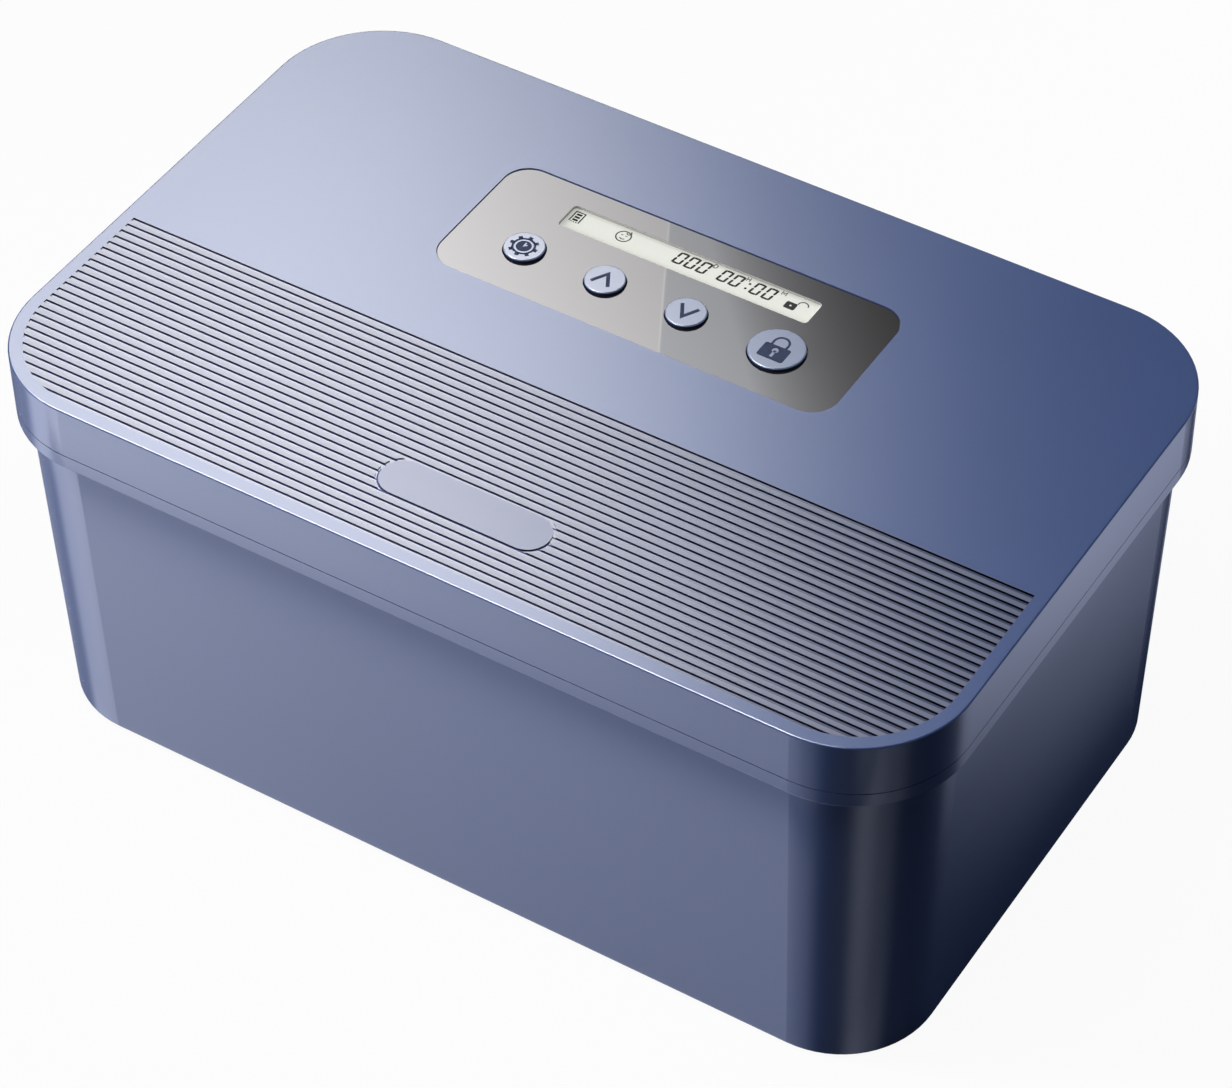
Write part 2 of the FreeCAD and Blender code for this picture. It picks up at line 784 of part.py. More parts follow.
board_screws = []
for place, (x_side, y_side) in enumerate(BOARD_SCREWS):
    board_screws.append(screw(f"board_screw{place}", "small", f"{x_side} * board_screw_x",
                              f"board_y + ({y_side} * board_screw_y)", "board_bottom", True))
keep("board_screws", group("board_screws", board_screws))

# Buttons: a cap with a retaining flange and a nub, over the plunger of a tactile switch

for name, (button_x, radius) in BUTTONS.items():
    cap = new_body(f"button_{name}")
    cap_foot = new_sketch(cap, "cap_flange_bottom - nub_length")
    draw_circle(cap_foot, "nub_radius", button_x, "button_y")
    pad(cap, cap_foot, "nub_length")
    cap_flange = new_sketch(cap, "cap_flange_bottom")
    draw_circle(cap_flange, f"{radius} + cap_flange", button_x, "button_y")
    pad(cap, cap_flange, "cap_flange_thickness")
    cap_top = new_sketch(cap, "cap_flange_bottom")
    draw_circle(cap_top, radius, button_x, "button_y")
    pad(cap, cap_top, "lid_top + cap_rise - cap_flange_bottom")
    round_edges(cap, "cap_round", lies_at("lid_top + cap_rise"))
    keep(f"button_{name}", cap)
    plunger = cylinder(f"plunger_{name}", "plunger_radius", "plunger_top - plunger_bottom",
                       button_x, "button_y", "plunger_bottom")
    keep(f"plunger_{name}", plunger)
    switch_blank = box(f"switch_{name}_blank", "switch_side", "switch_side", "switch_height",
                       button_x, "button_y", board_top)
    switch_bore = cylinder(f"switch_{name}_bore", "plunger_radius + plunger_gap", "5",
                           button_x, "button_y", "switch_bore_bottom")
    keep(f"switch_{name}", cut(f"switch_{name}", switch_blank, switch_bore))

# Gear train: axes are chained by bearings; each pair is set with a tooth of one in a gap of the other


def step(place, distance, bearing):
    angle = math.radians(bearing)
    return place + Vector(distance * math.cos(angle), distance * math.sin(angle), 0)


gear_module = number("gear_module")
pinion_teeth = SIZES["pinion_teeth"]
drive_teeth = SIZES["drive_teeth"]
second_teeth = SIZES["second_teeth"]
first_teeth = SIZES["first_teeth"]
drive_axis = Vector(0, 0, 0)
second_axis = step(drive_axis, gear_module * (drive_teeth + pinion_teeth) / 2, SECOND_BEARING)
first_axis = step(second_axis, gear_module * (second_teeth + pinion_teeth) / 2, FIRST_BEARING)
motor_axis = step(first_axis, gear_module * (first_teeth + pinion_teeth) / 2, MOTOR_BEARING)
gear_axes = {"drive_gear": drive_axis, "second_gear": second_axis, "first_gear": first_axis}

low = number("low_level")
high = number("high_level")
gear_face = number("gear_face")
bore = number("pin_radius + bore_fit")
latch_bottom = number("latch_bottom")
latch_top = number("latch_bottom + latch_thickness")
rack_module = number("rack_module")
rack_teeth = SIZES["rack_pinion_teeth"]

rack_pinion_bottom = latch_bottom - 0.2
wheel("drive_gear", drive_axis, bore, [
    (gear_module, drive_teeth, SECOND_BEARING, low, gear_face),
    (rack_module, rack_teeth, 90.0, rack_pinion_bottom, latch_top + 0.1 - rack_pinion_bottom),
], hub=(number("hub_radius"), low + gear_face, rack_pinion_bottom - low - gear_face))
wheel("second_gear", second_axis, bore, [
    (gear_module, pinion_teeth, gap_bearing(pinion_teeth, SECOND_BEARING + 180), low, high - low),
    (gear_module, second_teeth, FIRST_BEARING, high, gear_face),
])
wheel("first_gear", first_axis, bore, [
    (gear_module, first_teeth, MOTOR_BEARING, low, gear_face),
    (gear_module, pinion_teeth, gap_bearing(pinion_teeth, FIRST_BEARING + 180), low + gear_face,
     high - low),
])
wheel("motor_pinion", motor_axis, number("shaft_radius") + 0.01, [
    (gear_module, pinion_teeth, gap_bearing(pinion_teeth, MOTOR_BEARING + 180), low + 0.1, gear_face),
])

for name, axis in gear_axes.items():
    pin = cylinder(name + "_pin", "pin_radius", "gear_plate_bottom + gear_plate_thickness - pin_bottom",
                   str(axis.x), str(axis.y), "pin_bottom")
    keep(name + "_pin", pin)

motor_x = str(motor_axis.x)
motor_y = str(motor_axis.y)
shaft = cylinder("motor_shaft", "shaft_radius", "shaft_length", motor_x, motor_y, "low_level + 0.1")
keep("motor_shaft", shaft)
motor_round = cylinder("motor_round", "motor_radius", "motor_length", motor_x, motor_y, "motor_bottom")
motor_flat = box("motor_flat", "2 * motor_radius", "motor_flats", "motor_length",
                 motor_x, motor_y, "motor_bottom")
motor_can = common("motor_can", motor_round, motor_flat)
terminals = [box("motor_terminal", "0.5", "1.6", "1.4", f"{motor_axis.x} + ({side})", motor_y,
                 "motor_bottom + motor_length") for side in ("-3", "3")]
motor_bore = cylinder("motor_bore", "shaft_radius + 0.05", "shaft_length",
                      motor_x, motor_y, "low_level + 0.1")
keep("lock_motor", cut("lock_motor", join("motor_blank", [motor_can] + terminals), motor_bore))

# Latch bars: an arm to the tub's end wall and a rack that meets the drive gear's upper wheel. The
# left bar is the right one turned half round.


def rack_points():
    """The rack's toothed edge from the outer end back to the inner end, with a gap at x = 0."""
    pitch = math.pi * rack_module
    line = -number("rack_pinion_teeth * rack_module / 2")
    tip = line + number("tooth_addendum") * rack_module
    root = line - number("tooth_dedendum") * rack_module
    thickness = pitch / 2 - number("tooth_backlash") * rack_module
    slope = math.tan(PRESSURE_ANGLE)
    points = []
    for tooth in range(2, -4, -1):
        middle = pitch * (tooth + 0.5)
        for side, height in ((1, root), (1, tip), (-1, tip), (-1, root)):
            half = thickness / 2 - slope * (height - line)
            points.append((middle + side * half, height))
    return points


outer = number("latch_rack_outer")
tip_x = number("latch_tip")
half_tip = number("latch_tip_width / 2")
half_arm = number("latch_arm_width / 2")
rack_root = -number("rack_pinion_teeth * rack_module / 2 + tooth_dedendum * rack_module")
right_outline = [
    (-14.0, rack_root), (-14.0, -outer), (36.0, -outer), (52.0, -half_arm), (104.0, -half_arm),
    (108.0, -half_tip), (tip_x - 2, -half_tip), (tip_x, -half_tip + 2), (tip_x, half_tip - 2),
    (tip_x - 2, half_tip), (108.0, half_tip), (104.0, half_arm), (48.0, half_arm), (30.0, rack_root),
]
right_outline += rack_points()
for name, turn in (("latch_bar_right", 1), ("latch_bar_left", -1)):
    bar = new_body(name)
    bar_outline = new_sketch(bar, "latch_bottom")
    draw_outline(bar_outline, [(turn * x, turn * y) for x, y in right_outline])
    pad(bar, bar_outline, "latch_thickness")
    keep(name, bar)

# Gear plate, which holds the gears and racks down and carries the motor

plate = new_body("gear_plate")
plate_outline = new_sketch(plate, "gear_plate_bottom")
draw_rectangle(plate_outline, "gear_plate_length", "gear_plate_depth",
               x="gear_plate_x", y="gear_plate_y", corner="post_radius")
for axis in gear_axes.values():
    draw_circle(plate_outline, "pin_radius + pin_fit", str(axis.x), str(axis.y))
for x, y in POSTS:
    draw_circle(plate_outline, "small_screw_radius + 0.2", str(x), str(y))
draw_rectangle(plate_outline, "2 * motor_radius + 2 * motor_fit", "motor_flats + 2 * motor_fit",
               x=motor_x, y=motor_y)
pad(plate, plate_outline, "gear_plate_thickness")
keep("gear_plate", plate)
plate_seat = "gear_plate_bottom + gear_plate_thickness"
plate_screws = [screw(f"gear_plate_screw{place}", "small", str(x), str(y), plate_seat, False)
                for place, (x, y) in enumerate(POSTS)]
keep("gear_plate_screws", group("gear_plate_screws", plate_screws))

# Inner cover: a tray that closes the lid from below

tray = new_body("lid_inner_cover")
tray_outline = new_sketch(tray, "tray_bottom")
draw_rectangle(tray_outline, "tray_length", "tray_depth", corner="tray_corner")
pad(tray, tray_outline, "lid_top - lid_plate - tray_bottom")
round_edges(tray, "tray_round", lies_at("tray_bottom"))
tray_hollow = new_sketch(tray, "lid_top - lid_plate")
draw_rectangle(tray_hollow, "tray_length - 2 * tray_wall", "tray_depth - 2 * tray_wall",
               corner="tray_corner - tray_wall")
pocket(tray, tray_hollow, "lid_top - lid_plate - tray_bottom - tray_floor")
floor_top = "tray_bottom + tray_floor"


def stand(top, draw, bottom=floor_top):
    """Add what draw sketches, from inside the tray's floor, or from bottom, up to a height."""
    start = f"{bottom} - overlap" if bottom == floor_top else bottom
    sketch = new_sketch(tray, start)
    draw(sketch)
    pad(tray, sketch, f"({top}) - ({start})")


def draw_pillars(sketch):
    for x_side, y_side in PILLARS:
        draw_circle(sketch, "pillar_radius", f"{x_side} * pillar_x", f"{y_side} * pillar_y")


def draw_bay_walls(sketch):
    draw_rectangle(sketch, "bay_length + 2 * bay_wall", "bay_depth + 2 * bay_wall", x="bay_x", y="bay_y")
    draw_rectangle(sketch, "bay_length", "bay_depth", x="bay_x", y="bay_y")


def draw_bay_roof(sketch):
    draw_rectangle(sketch, "bay_length + 2 * bay_wall", "bay_depth + 2 * bay_wall", x="bay_x", y="bay_y")


def draw_posts(sketch):
    for x, y in POSTS:
        draw_circle(sketch, "post_radius", str(x), str(y))


def draw_pin_bosses(sketch):
    for axis in gear_axes.values():
        draw_circle(sketch, "pin_radius + 1.4", str(axis.x), str(axis.y))


def draw_motor_rests(sketch):
    for side in ("-2.8", "2.8"):
        draw_circle(sketch, "1", f"{motor_axis.x} + 4.4", f"{motor_axis.y} + ({side})")


def draw_latch_beds(sketch):
    for side in ("-1", "1"):
        draw_rectangle(sketch, "guide_length", "latch_arm_width + 2 * rail_gap + 2 * rail_wall",
                       x=f"{side} * guide_x")
        draw_rectangle(sketch, "rack_rest_length", "latch_rack_outer - 8", x=f"{side} * rack_rest_x",
                       y=f"-{side} * (latch_rack_outer + 10) / 2")


def draw_latch_rails(sketch):
    for side in ("-1", "1"):
        for edge in ("-1", "1"):
            draw_rectangle(sketch, "guide_length", "rail_wall", x=f"{side} * guide_x",
                           y=f"{edge} * (latch_arm_width / 2 + rail_gap + rail_wall / 2)")
        draw_rectangle(sketch, "rack_rest_length", "1.6", x=f"{side} * rack_rest_x",
                       y=f"-{side} * (latch_rack_outer + rail_gap + 0.8)")


bed_top = "latch_bottom - latch_play"
stand("pillar_top", draw_pillars)
stand("bay_roof + bay_wall", draw_bay_walls)
stand("bay_roof + bay_wall", draw_bay_roof, "bay_roof")
stand("gear_plate_bottom", draw_posts)
stand("low_level - 0.1", draw_pin_bosses)
stand("motor_bottom", draw_motor_rests)
stand(bed_top, draw_latch_beds)
stand("latch_bottom + latch_thickness + 0.3", draw_latch_rails)

wells = new_sketch(tray, "tray_bottom")
screw_ways = new_sketch(tray, "tray_bottom")
for x_side, y_side in PILLARS:
    draw_circle(wells, "well_radius", f"{x_side} * pillar_x", f"{y_side} * pillar_y")
    draw_circle(screw_ways, "screw_radius + 0.2", f"{x_side} * pillar_x", f"{y_side} * pillar_y")
pocket(tray, wells, "well_top - tray_bottom", upward=True)
pocket(tray, screw_ways, "pillar_top - tray_bottom", upward=True)
door_seat = new_sketch(tray, "tray_bottom")
draw_rectangle(door_seat, "door_length + 2 * door_gap", "door_depth + 2 * door_gap", x="bay_x", y="bay_y",
               corner="door_corner + door_gap")
pocket(tray, door_seat, "door_thickness + 0.1", upward=True)
bay_mouth = new_sketch(tray, "tray_bottom")
draw_rectangle(bay_mouth, "bay_length", "bay_depth", x="bay_x", y="bay_y")
pocket(tray, bay_mouth, "tray_floor", upward=True)
tab_ways = new_sketch(tray, "bay_roof")
tab_x = "bay_x + bay_length / 2 - contact_sheet - 0.3"
for side in ("-1", "1"):
    draw_rectangle(tab_ways, "contact_sheet + 0.4", "3", x=tab_x, y=f"bay_y + ({side} * cell_pitch / 2)")
pocket(tray, tab_ways, "bay_wall", upward=True)
pin_holes = new_sketch(tray, "low_level - 0.1")
for axis in gear_axes.values():
    draw_circle(pin_holes, "pin_radius + pin_fit", str(axis.x), str(axis.y))
pocket(tray, pin_holes, "low_level - 0.1 - pin_bottom")
post_holes = new_sketch(tray, "gear_plate_bottom")
for x, y in POSTS:
    draw_circle(post_holes, "small_screw_radius + screw_fit", str(x), str(y))
pocket(tray, post_holes, "small_length")
latch_windows = new_sketch(tray, "latch_bottom - 0.2")
for side in ("-1", "1"):
    draw_rectangle(latch_windows, "tray_wall + 2", "latch_tip_width + 2 * rail_gap",
                   x=f"{side} * (tray_length / 2 - tray_wall / 2)")
pocket(tray, latch_windows, "latch_thickness + 0.4", upward=True)
keep("lid_inner_cover", tray)

cover_screws = [screw(f"cover_screw{place}", "large", f"{x_side} * pillar_x", f"{y_side} * pillar_y",
                      "well_top", True)
                for place, (x_side, y_side) in enumerate(PILLARS)]
keep("inner_cover_screws", group("inner_cover_screws", cover_screws))

# Battery bay: door, two cells, a link contact at one end and two tabbed contacts at the other

door = new_body("battery_door")
door_plate = new_sketch(door, "tray_bottom")
draw_rectangle(door_plate, "door_length", "door_depth", x="bay_x", y="bay_y", corner="door_corner")
pad(door, door_plate, "door_thickness")
door_rim = new_sketch(door, "tray_bottom + door_thickness")
rim_length = "bay_length - 2 * door_gap"
rim_depth = "bay_depth - 2 * door_gap"
draw_rectangle(door_rim, rim_length, rim_depth, x="bay_x", y="bay_y")
draw_rectangle(door_rim, f"{rim_length} - 2 * door_rim", f"{rim_depth} - 2 * door_rim",
               x="bay_x", y="bay_y")
pad(door, door_rim, "1.4")
door_grip = new_sketch(door, "tray_bottom")
for place in range(4):
    draw_rectangle(door_grip, "1", "14", x=f"bay_x + door_length / 2 - 6 - {2 * place}", y="bay_y")
pocket(door, door_grip, "0.4", upward=True)
keep("battery_door", door)

ALONG_X = FreeCAD.Rotation(Vector(0, 1, 0), 90)


def lying_cylinder(name, radius, length, x, y, z):
    """A cylinder that runs along +X from x."""
    solid = doc.addObject("Part::Cylinder", name)
    solid.Placement = FreeCAD.Placement(Vector(0, 0, 0), ALONG_X)
    bind(solid, Radius=radius, Height=length, x=x, y=y, z=z)
    return solid


for name, side, nub_first in (("front", "-1", True), ("back", "1", False)):
    cell_y = f"bay_y + ({side} * cell_pitch / 2)"
    nub_x = "bay_x - cell_length / 2 - cell_nub_length" if nub_first else "bay_x + cell_length / 2"
    can = lying_cylinder(f"cell_{name}_can", "cell_radius", "cell_length",
                         "bay_x - cell_length / 2", cell_y, "cell_axis")
    nub = lying_cylinder(f"cell_{name}_nub", "cell_nub_radius", "cell_nub_length",
                         nub_x, cell_y, "cell_axis")
    keep(f"battery_cell_{name}", join(f"battery_cell_{name}", [can, nub]))

tab_bottom = "bay_roof - 1 - contact_sheet"
sheet_height = "bay_roof - 1 - contact_bottom"
link_plate = box("link_plate", "contact_sheet", "cell_pitch + contact_width", sheet_height,
                 "bay_x - bay_length / 2 + contact_sheet / 2", "bay_y", "contact_bottom")
bump_length = "(bay_length - cell_length) / 2 - cell_nub_length - contact_sheet - contact_gap"
link_bumps = []
for side in ("-1", "1"):
    link_bumps.append(lying_cylinder("link_bump", "bump_radius", bump_length,
                                     "bay_x - bay_length / 2 + contact_sheet",
                                     f"bay_y + ({side} * cell_pitch / 2)", "cell_axis"))
keep("battery_link_contact", join("battery_link_contact", [link_plate] + link_bumps))
end_contacts = []
for side in ("-1", "1"):
    contact_y = f"bay_y + ({side} * cell_pitch / 2)"
    sheet_metal = box("end_plate", "contact_sheet", "contact_width", sheet_height,
                      "bay_x + bay_length / 2 - contact_sheet / 2", contact_y, "contact_bottom")
    bump = lying_cylinder("end_bump", "bump_radius", bump_length,
                          "bay_x + cell_length / 2 + cell_nub_length + contact_gap", contact_y, "cell_axis")
    tab_foot = box("tab_foot", "0.7", "tab_width", "contact_sheet",
                   f"{tab_x} + 0.15", contact_y, tab_bottom)
    tab = box("tab", "contact_sheet", "tab_width", "tab_height", tab_x, contact_y, tab_bottom)
    end_contacts.append(join("end_contact", [sheet_metal, bump, tab_foot, tab]))
keep("battery_end_contacts", group("battery_end_contacts", end_contacts))

# Limit switch beside the left latch guide

limit_body = box("limit_body", "8", "5", "9.5", "-63", "9.2", floor_top)
limit_nub = box("limit_nub", "1", "1.6", "2", "-58.5", "8", "100")
keep("latch_limit_switch", join("latch_limit_switch", [limit_body, limit_nub]))

# Leads inside the lid: straight runs joined by tangent arcs


def tube(points, radius):
    """A round lead along points, each bend as wide as its two runs allow."""
    spots = [Vector(*point) for point in points]
    edges = []
    start = spots[0]
    for before, bend, after in zip(spots, spots[1:], spots[2:]):
        into = (bend - before).normalize()
        out = (after - bend).normalize()
        reach = 0.45 * min(bend.distanceToPoint(before), bend.distanceToPoint(after))
        arc_start = bend - into * reach
        arc_end = bend + out * reach
        half_turn = into.getAngle(out) / 2
        arc_radius = reach / math.tan(half_turn)
        towards = (out - into).normalize()
        middle = bend + towards * (arc_radius / math.cos(half_turn) - arc_radius)
        edges.append(Part.LineSegment(start, arc_start).toShape())
        edges.append(Part.Arc(arc_start, middle, arc_end).toShape())
        start = arc_end
    edges.append(Part.LineSegment(start, spots[-1]).toShape())
    path = Part.Wire(edges)
    ring = Part.Wire(Part.makeCircle(radius, spots[0], spots[1] - spots[0]))
    return path.makePipeShell([ring], True, False)


lead_radius = number("lead_radius")
lead_end_z = number(board_top) + lead_radius + 0.05
motor_lead_z = number("motor_bottom + motor_length + 1.4") + lead_radius
cell_lead_z = number(f"{tab_bottom} + tab_height") + lead_radius
for name, shift in (("motor_lead_left", -3.0), ("motor_lead_right", 3.0)):
    lead_x = motor_axis.x + shift
    lead = tube([
        (lead_x, motor_axis.y - 0.5, motor_lead_z),
        (lead_x, motor_axis.y + 13, motor_lead_z),
        (lead_x - 2, motor_axis.y + 27, motor_lead_z - 1.5),
        (lead_x - 1, 17.0, lead_end_z),
    ], lead_radius)
    keep(name, feature(name, lead))
cell_lead_x = number(tab_x)
for name, side, end_x in (("battery_lead_front", -1, -27.0), ("battery_lead_back", 1, -31.0)):
    start_y = number("bay_y") + side * number("cell_pitch / 2")
    lead = tube([
        (cell_lead_x - 1, start_y, cell_lead_z),
        (cell_lead_x + 6, start_y + 3, cell_lead_z),
        (end_x - 3, start_y + 16, cell_lead_z - 0.5),
        (end_x - 1, -2.0, cell_lead_z - 1.0),
        (end_x, 17.0, lead_end_z),
    ], lead_radius)
    keep(name, feature(name, lead))

# Check every object, then write each sub-part

doc.recompute()
for item in doc.Objects:
    if "Invalid" in item.State or "Error" in item.State:
        raise RuntimeError(f"{item.Name} failed: {item.State}")
os.makedirs("parts", exist_ok=True)
for name, item in nodes.items():
    shape = item.Shape
    if shape.isNull() or not shape.isValid() or not shape.Solids:
        raise RuntimeError(f"{name} has no valid solid")
for name, item in nodes.items():
    item.Shape.exportStep(f"parts/{name}.step")
    print(name, len(item.Shape.Solids), round(item.Shape.Volume, 1))
print(len(nodes), "sub-parts")
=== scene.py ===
"""Timed lock container: finishes, display marks, button print and studio around the packed model."""

import math

import bpy
import numpy as np
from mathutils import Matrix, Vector


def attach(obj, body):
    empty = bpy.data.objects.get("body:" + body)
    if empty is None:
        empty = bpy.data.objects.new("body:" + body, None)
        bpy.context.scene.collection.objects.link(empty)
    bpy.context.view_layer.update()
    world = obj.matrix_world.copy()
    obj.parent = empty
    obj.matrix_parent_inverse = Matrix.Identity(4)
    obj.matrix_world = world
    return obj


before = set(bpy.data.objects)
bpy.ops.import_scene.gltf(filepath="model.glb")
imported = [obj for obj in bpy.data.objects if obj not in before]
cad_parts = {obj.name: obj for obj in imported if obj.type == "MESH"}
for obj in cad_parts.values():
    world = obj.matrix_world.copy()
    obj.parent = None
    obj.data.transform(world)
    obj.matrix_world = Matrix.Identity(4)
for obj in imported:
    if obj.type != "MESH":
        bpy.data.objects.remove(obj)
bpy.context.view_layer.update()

bl_info = {
    "name": "Timed lock container looks",
    "version": (1, 0, 0),
    "blender": (4, 5, 0),
    "location": "3D View > Sidebar > Lock container",
    "description": "Finishes, display marks, button print and studio for the timed lock container",
    "category": "Object",
}

MM = 0.001

# heights of the closed container, in metres
LID_TOP = 0.120
CAP_TOP = 0.1207
FASCIA_TOP = 0.1197
# a point this far under a face is off it
UNDER_LID = 0.00002
UNDER_FASCIA = 0.00005

# ribbed field and badge pad: rounded rectangles as middle y, half width and half depth to the middles of
# the round corners, and their radius
FIELD_SHAPE = (0, 0.1042, 0.0547, 0.0271)
PAD_SHAPE = (-0.0612, 0.018, 0, 0.006)
FIELD_BACK = -0.0170
FIELD_THICKNESS = 0.001
GROOVE_START = 0.0171
GROOVE_PITCH = 0.00264
GROOVE_DEPTH = 0.00028
GROOVE_ROUGHNESS = 0.15
GROOVE_COAT = 0.2
# width of the painted shade strip at the foot of a groove's back wall, and the near-black colour painted as
# shade on the groove walls and that strip
FOOT_SHADE_WIDTH = 0.00044
WALL_SHADE_COLOUR = (0.006, 0.007, 0.02, 1)
PAD_COLOUR = (0.045, 0.06, 0.15, 1)
BODY_SPECULAR = 0.47
BODY_TINT = (0.975, 0.985, 1.0, 1)

# button caps: gloss, and how far under the top the pale rim ends
CAP_ROUGHNESS = 0.12
CAP_SPECULAR = 0.53
CAP_RIM = (0.00036, 0.0003)

# display opening in the fascia: middle y, half width and half depth, and where the painted shadow along its
# back and left edges starts and ends
WINDOW_Y = 0.04225
WINDOW_HALF = (0.0375, 0.0046)
BACK_SHADOW_EDGE = (0.0027, 0.0045)
LEFT_SHADOW_EDGE = (0.0348, 0.0372)
# how dark the painted edge shadow is, as a share of the display colour
EDGE_SHADE = 0.66
# strength of the painted glow: the display ground gives off light in its own colour, standing for the
# backlight's light
DISPLAY_GLOW = 0.15
# pale grey painted on the walls of the display opening, as painted shade of the display's edge in place of
# the dark fascia
OPENING_SHADE_GREY = (0.42, 0.42, 0.4, 1)
FASCIA_SPECULAR = 0.56
FASCIA_TINT = (1.0, 0.97, 0.955, 1)


# ---------------------------------------------------------------- user values

class BodySettings(bpy.types.PropertyGroup):
    """Satin plastic of the lid and the tub."""
    colour: bpy.props.FloatVectorProperty(
        name="Body colour", description="Slate blue of the lid and tub",
        subtype="COLOR", size=4, min=0, max=1, default=(0.058, 0.094, 0.235, 1))
    roughness: bpy.props.FloatProperty(
        name="Body roughness", description="How satin the body is",
        subtype="FACTOR", min=0, max=1, default=0.18)
    grain: bpy.props.FloatProperty(
        name="Grain size", description="Width of one grain of the moulded texture",
        subtype="DISTANCE", unit="LENGTH", min=0.0001, max=0.002, default=0.0005)
    grain_depth: bpy.props.FloatProperty(
        name="Grain depth", description="Depth of the moulded texture",
        subtype="DISTANCE", unit="LENGTH", min=0, max=0.0001, default=0.000004)
    rib_colour: bpy.props.FloatVectorProperty(
        name="Rib colour", description="Greyer tone of the rib tops",
        subtype="COLOR", size=4, min=0, max=1, default=(0.115, 0.128, 0.205, 1))
    rib_roughness: bpy.props.FloatProperty(
        name="Rib roughness", description="How satin the rib tops are",
        subtype="FACTOR", min=0, max=1, default=0.2)
    # painted shade: the groove floors get this darker colour because they lie in a recess
    groove_shade_colour: bpy.props.FloatVectorProperty(
        name="Groove colour", description="Deep tone in the grooves",
        subtype="COLOR", size=4, min=0, max=1, default=(0.03, 0.045, 0.105, 1))


class PanelSettings(bpy.types.PropertyGroup):
    """Glossy fascia, its window and the display behind it."""
    fascia_colour: bpy.props.FloatVectorProperty(
        name="Fascia colour", description="Smoky grey of the glossy panel",
        subtype="COLOR", size=4, min=0, max=1, default=(0.022, 0.020, 0.020, 1))
    display_colour: bpy.props.FloatVectorProperty(
        name="Display colour", description="Pale ground of the display",
        subtype="COLOR", size=4, min=0, max=1, default=(0.92, 0.94, 0.87, 1))
    mark_colour: bpy.props.FloatVectorProperty(
        name="Mark colour", description="Dark grey of a shown segment",
        subtype="COLOR", size=4, min=0, max=1, default=(0.011, 0.012, 0.011, 1))
    digit_height: bpy.props.FloatProperty(
        name="Digit height", description="Height of a display digit",
        subtype="DISTANCE", unit="LENGTH", min=0.001, max=0.01, default=0.00475)
    digit_width: bpy.props.FloatProperty(
        name="Digit width", description="Width of a display digit",
        subtype="DISTANCE", unit="LENGTH", min=0.001, max=0.01, default=0.0027)
    segment_width: bpy.props.FloatProperty(
        name="Segment width", description="Width of one bar of a digit",
        subtype="DISTANCE", unit="LENGTH", min=0.0001, max=0.002, default=0.00062)
    slant: bpy.props.FloatProperty(
        name="Slant", description="Lean of the digits",
        subtype="ANGLE", unit="ROTATION", min=0, max=0.5, default=math.radians(9))


class ButtonSettings(bpy.types.PropertyGroup):
    """Pale caps and the dark print on them."""
    cap_colour: bpy.props.FloatVectorProperty(
        name="Cap colour", description="Pale periwinkle of the button caps",
        subtype="COLOR", size=4, min=0, max=1, default=(0.19, 0.235, 0.37, 1))
    side_colour: bpy.props.FloatVectorProperty(
        name="Cap side colour", description="Dark navy of the cap sides",
        subtype="COLOR", size=4, min=0, max=1, default=(0.014, 0.02, 0.05, 1))
    print_colour: bpy.props.FloatVectorProperty(
        name="Print colour", description="Dark navy of the printed signs",
        subtype="COLOR", size=4, min=0, max=1, default=(0.036, 0.047, 0.088, 1))
    print_thickness: bpy.props.FloatProperty(
        name="Print thickness", description="Height of the print over the cap",
        subtype="DISTANCE", unit="LENGTH", min=0.00001, max=0.0002, default=0.00003)


class StudioSettings(bpy.types.PropertyGroup):
    """Floor, lamps and camera."""
    floor_size: bpy.props.FloatProperty(
        name="Floor size", description="Width of the floor sheet",
        subtype="DISTANCE", unit="LENGTH", min=1, max=60, default=30)
    side_level: bpy.props.FloatProperty(
        name="Side lamp level", description="Light of the low left lamp on a sheet facing it",
        min=0, max=4, default=1.05)
    top_level: bpy.props.FloatProperty(
        name="Top lamp level", description="Light of the lamp overhead on a sheet facing it",
        min=0, max=4, default=0.42)
    right_level: bpy.props.FloatProperty(
        name="Right lamp level", description="Light of the low back right lamp on a sheet facing it",
        min=0, max=4, default=0.33)
    room_level: bpy.props.FloatProperty(
        name="Room level", description="Even light from all round",
        min=0, max=2, default=0.02)
    lens: bpy.props.FloatProperty(
        name="Lens", description="Focal length of the camera on a 36 mm sensor, in millimetres",
        min=20, max=400, default=122.94)


GROUPS = {
    "lock_body": BodySettings,
    "lock_panel": PanelSettings,
    "lock_buttons": ButtonSettings,
    "lock_studio": StudioSettings,
}


# ---------------------------------------------------------------- node helpers

def add_node(tree, kind, **values):
    """Adds a node; each value goes to the input of that name, with _ for a space."""
    made = tree.nodes.new(kind)
    for name, value in values.items():
        made.inputs[name.replace("_", " ")].default_value = value
    return made


def calc(tree, operation, *terms, clamp=False):
    """One Math node over sockets and numbers; gives its output socket."""
    made = tree.nodes.new("ShaderNodeMath")
    made.operation = operation
    made.use_clamp = clamp
    for socket, term in zip(made.inputs, terms):
        if isinstance(term, (int, float)):
            socket.default_value = term
        else:
            tree.links.new(term, socket)
    return made.outputs[0]


def weigh(tree, terms, constant=0.0):
    """Sum of socket times number over the pairs in terms, plus a constant."""
    total = constant
    for socket, share in terms:
        total = calc(tree, "MULTIPLY_ADD", socket, share, total)
    return total


def step_up(tree, value, low, high):
    """Smooth step of value: 0 under low, 1 over high."""
    made = tree.nodes.new("ShaderNodeMapRange")
    made.interpolation_type = "SMOOTHSTEP"
    made.inputs["From Min"].default_value = low
    made.inputs["From Max"].default_value = high
    tree.links.new(value, made.inputs["Value"])
    return made.outputs["Result"]


def blend_values(tree, share, first, second):
    """first where share is 0 and second where it is 1."""
    made = tree.nodes.new("ShaderNodeMix")
    for socket, term in ((made.inputs[0], share), (made.inputs[2], first), (made.inputs[3], second)):
        if isinstance(term, (int, float)):
            socket.default_value = term
        else:
            tree.links.new(term, socket)
    return made.outputs[0]


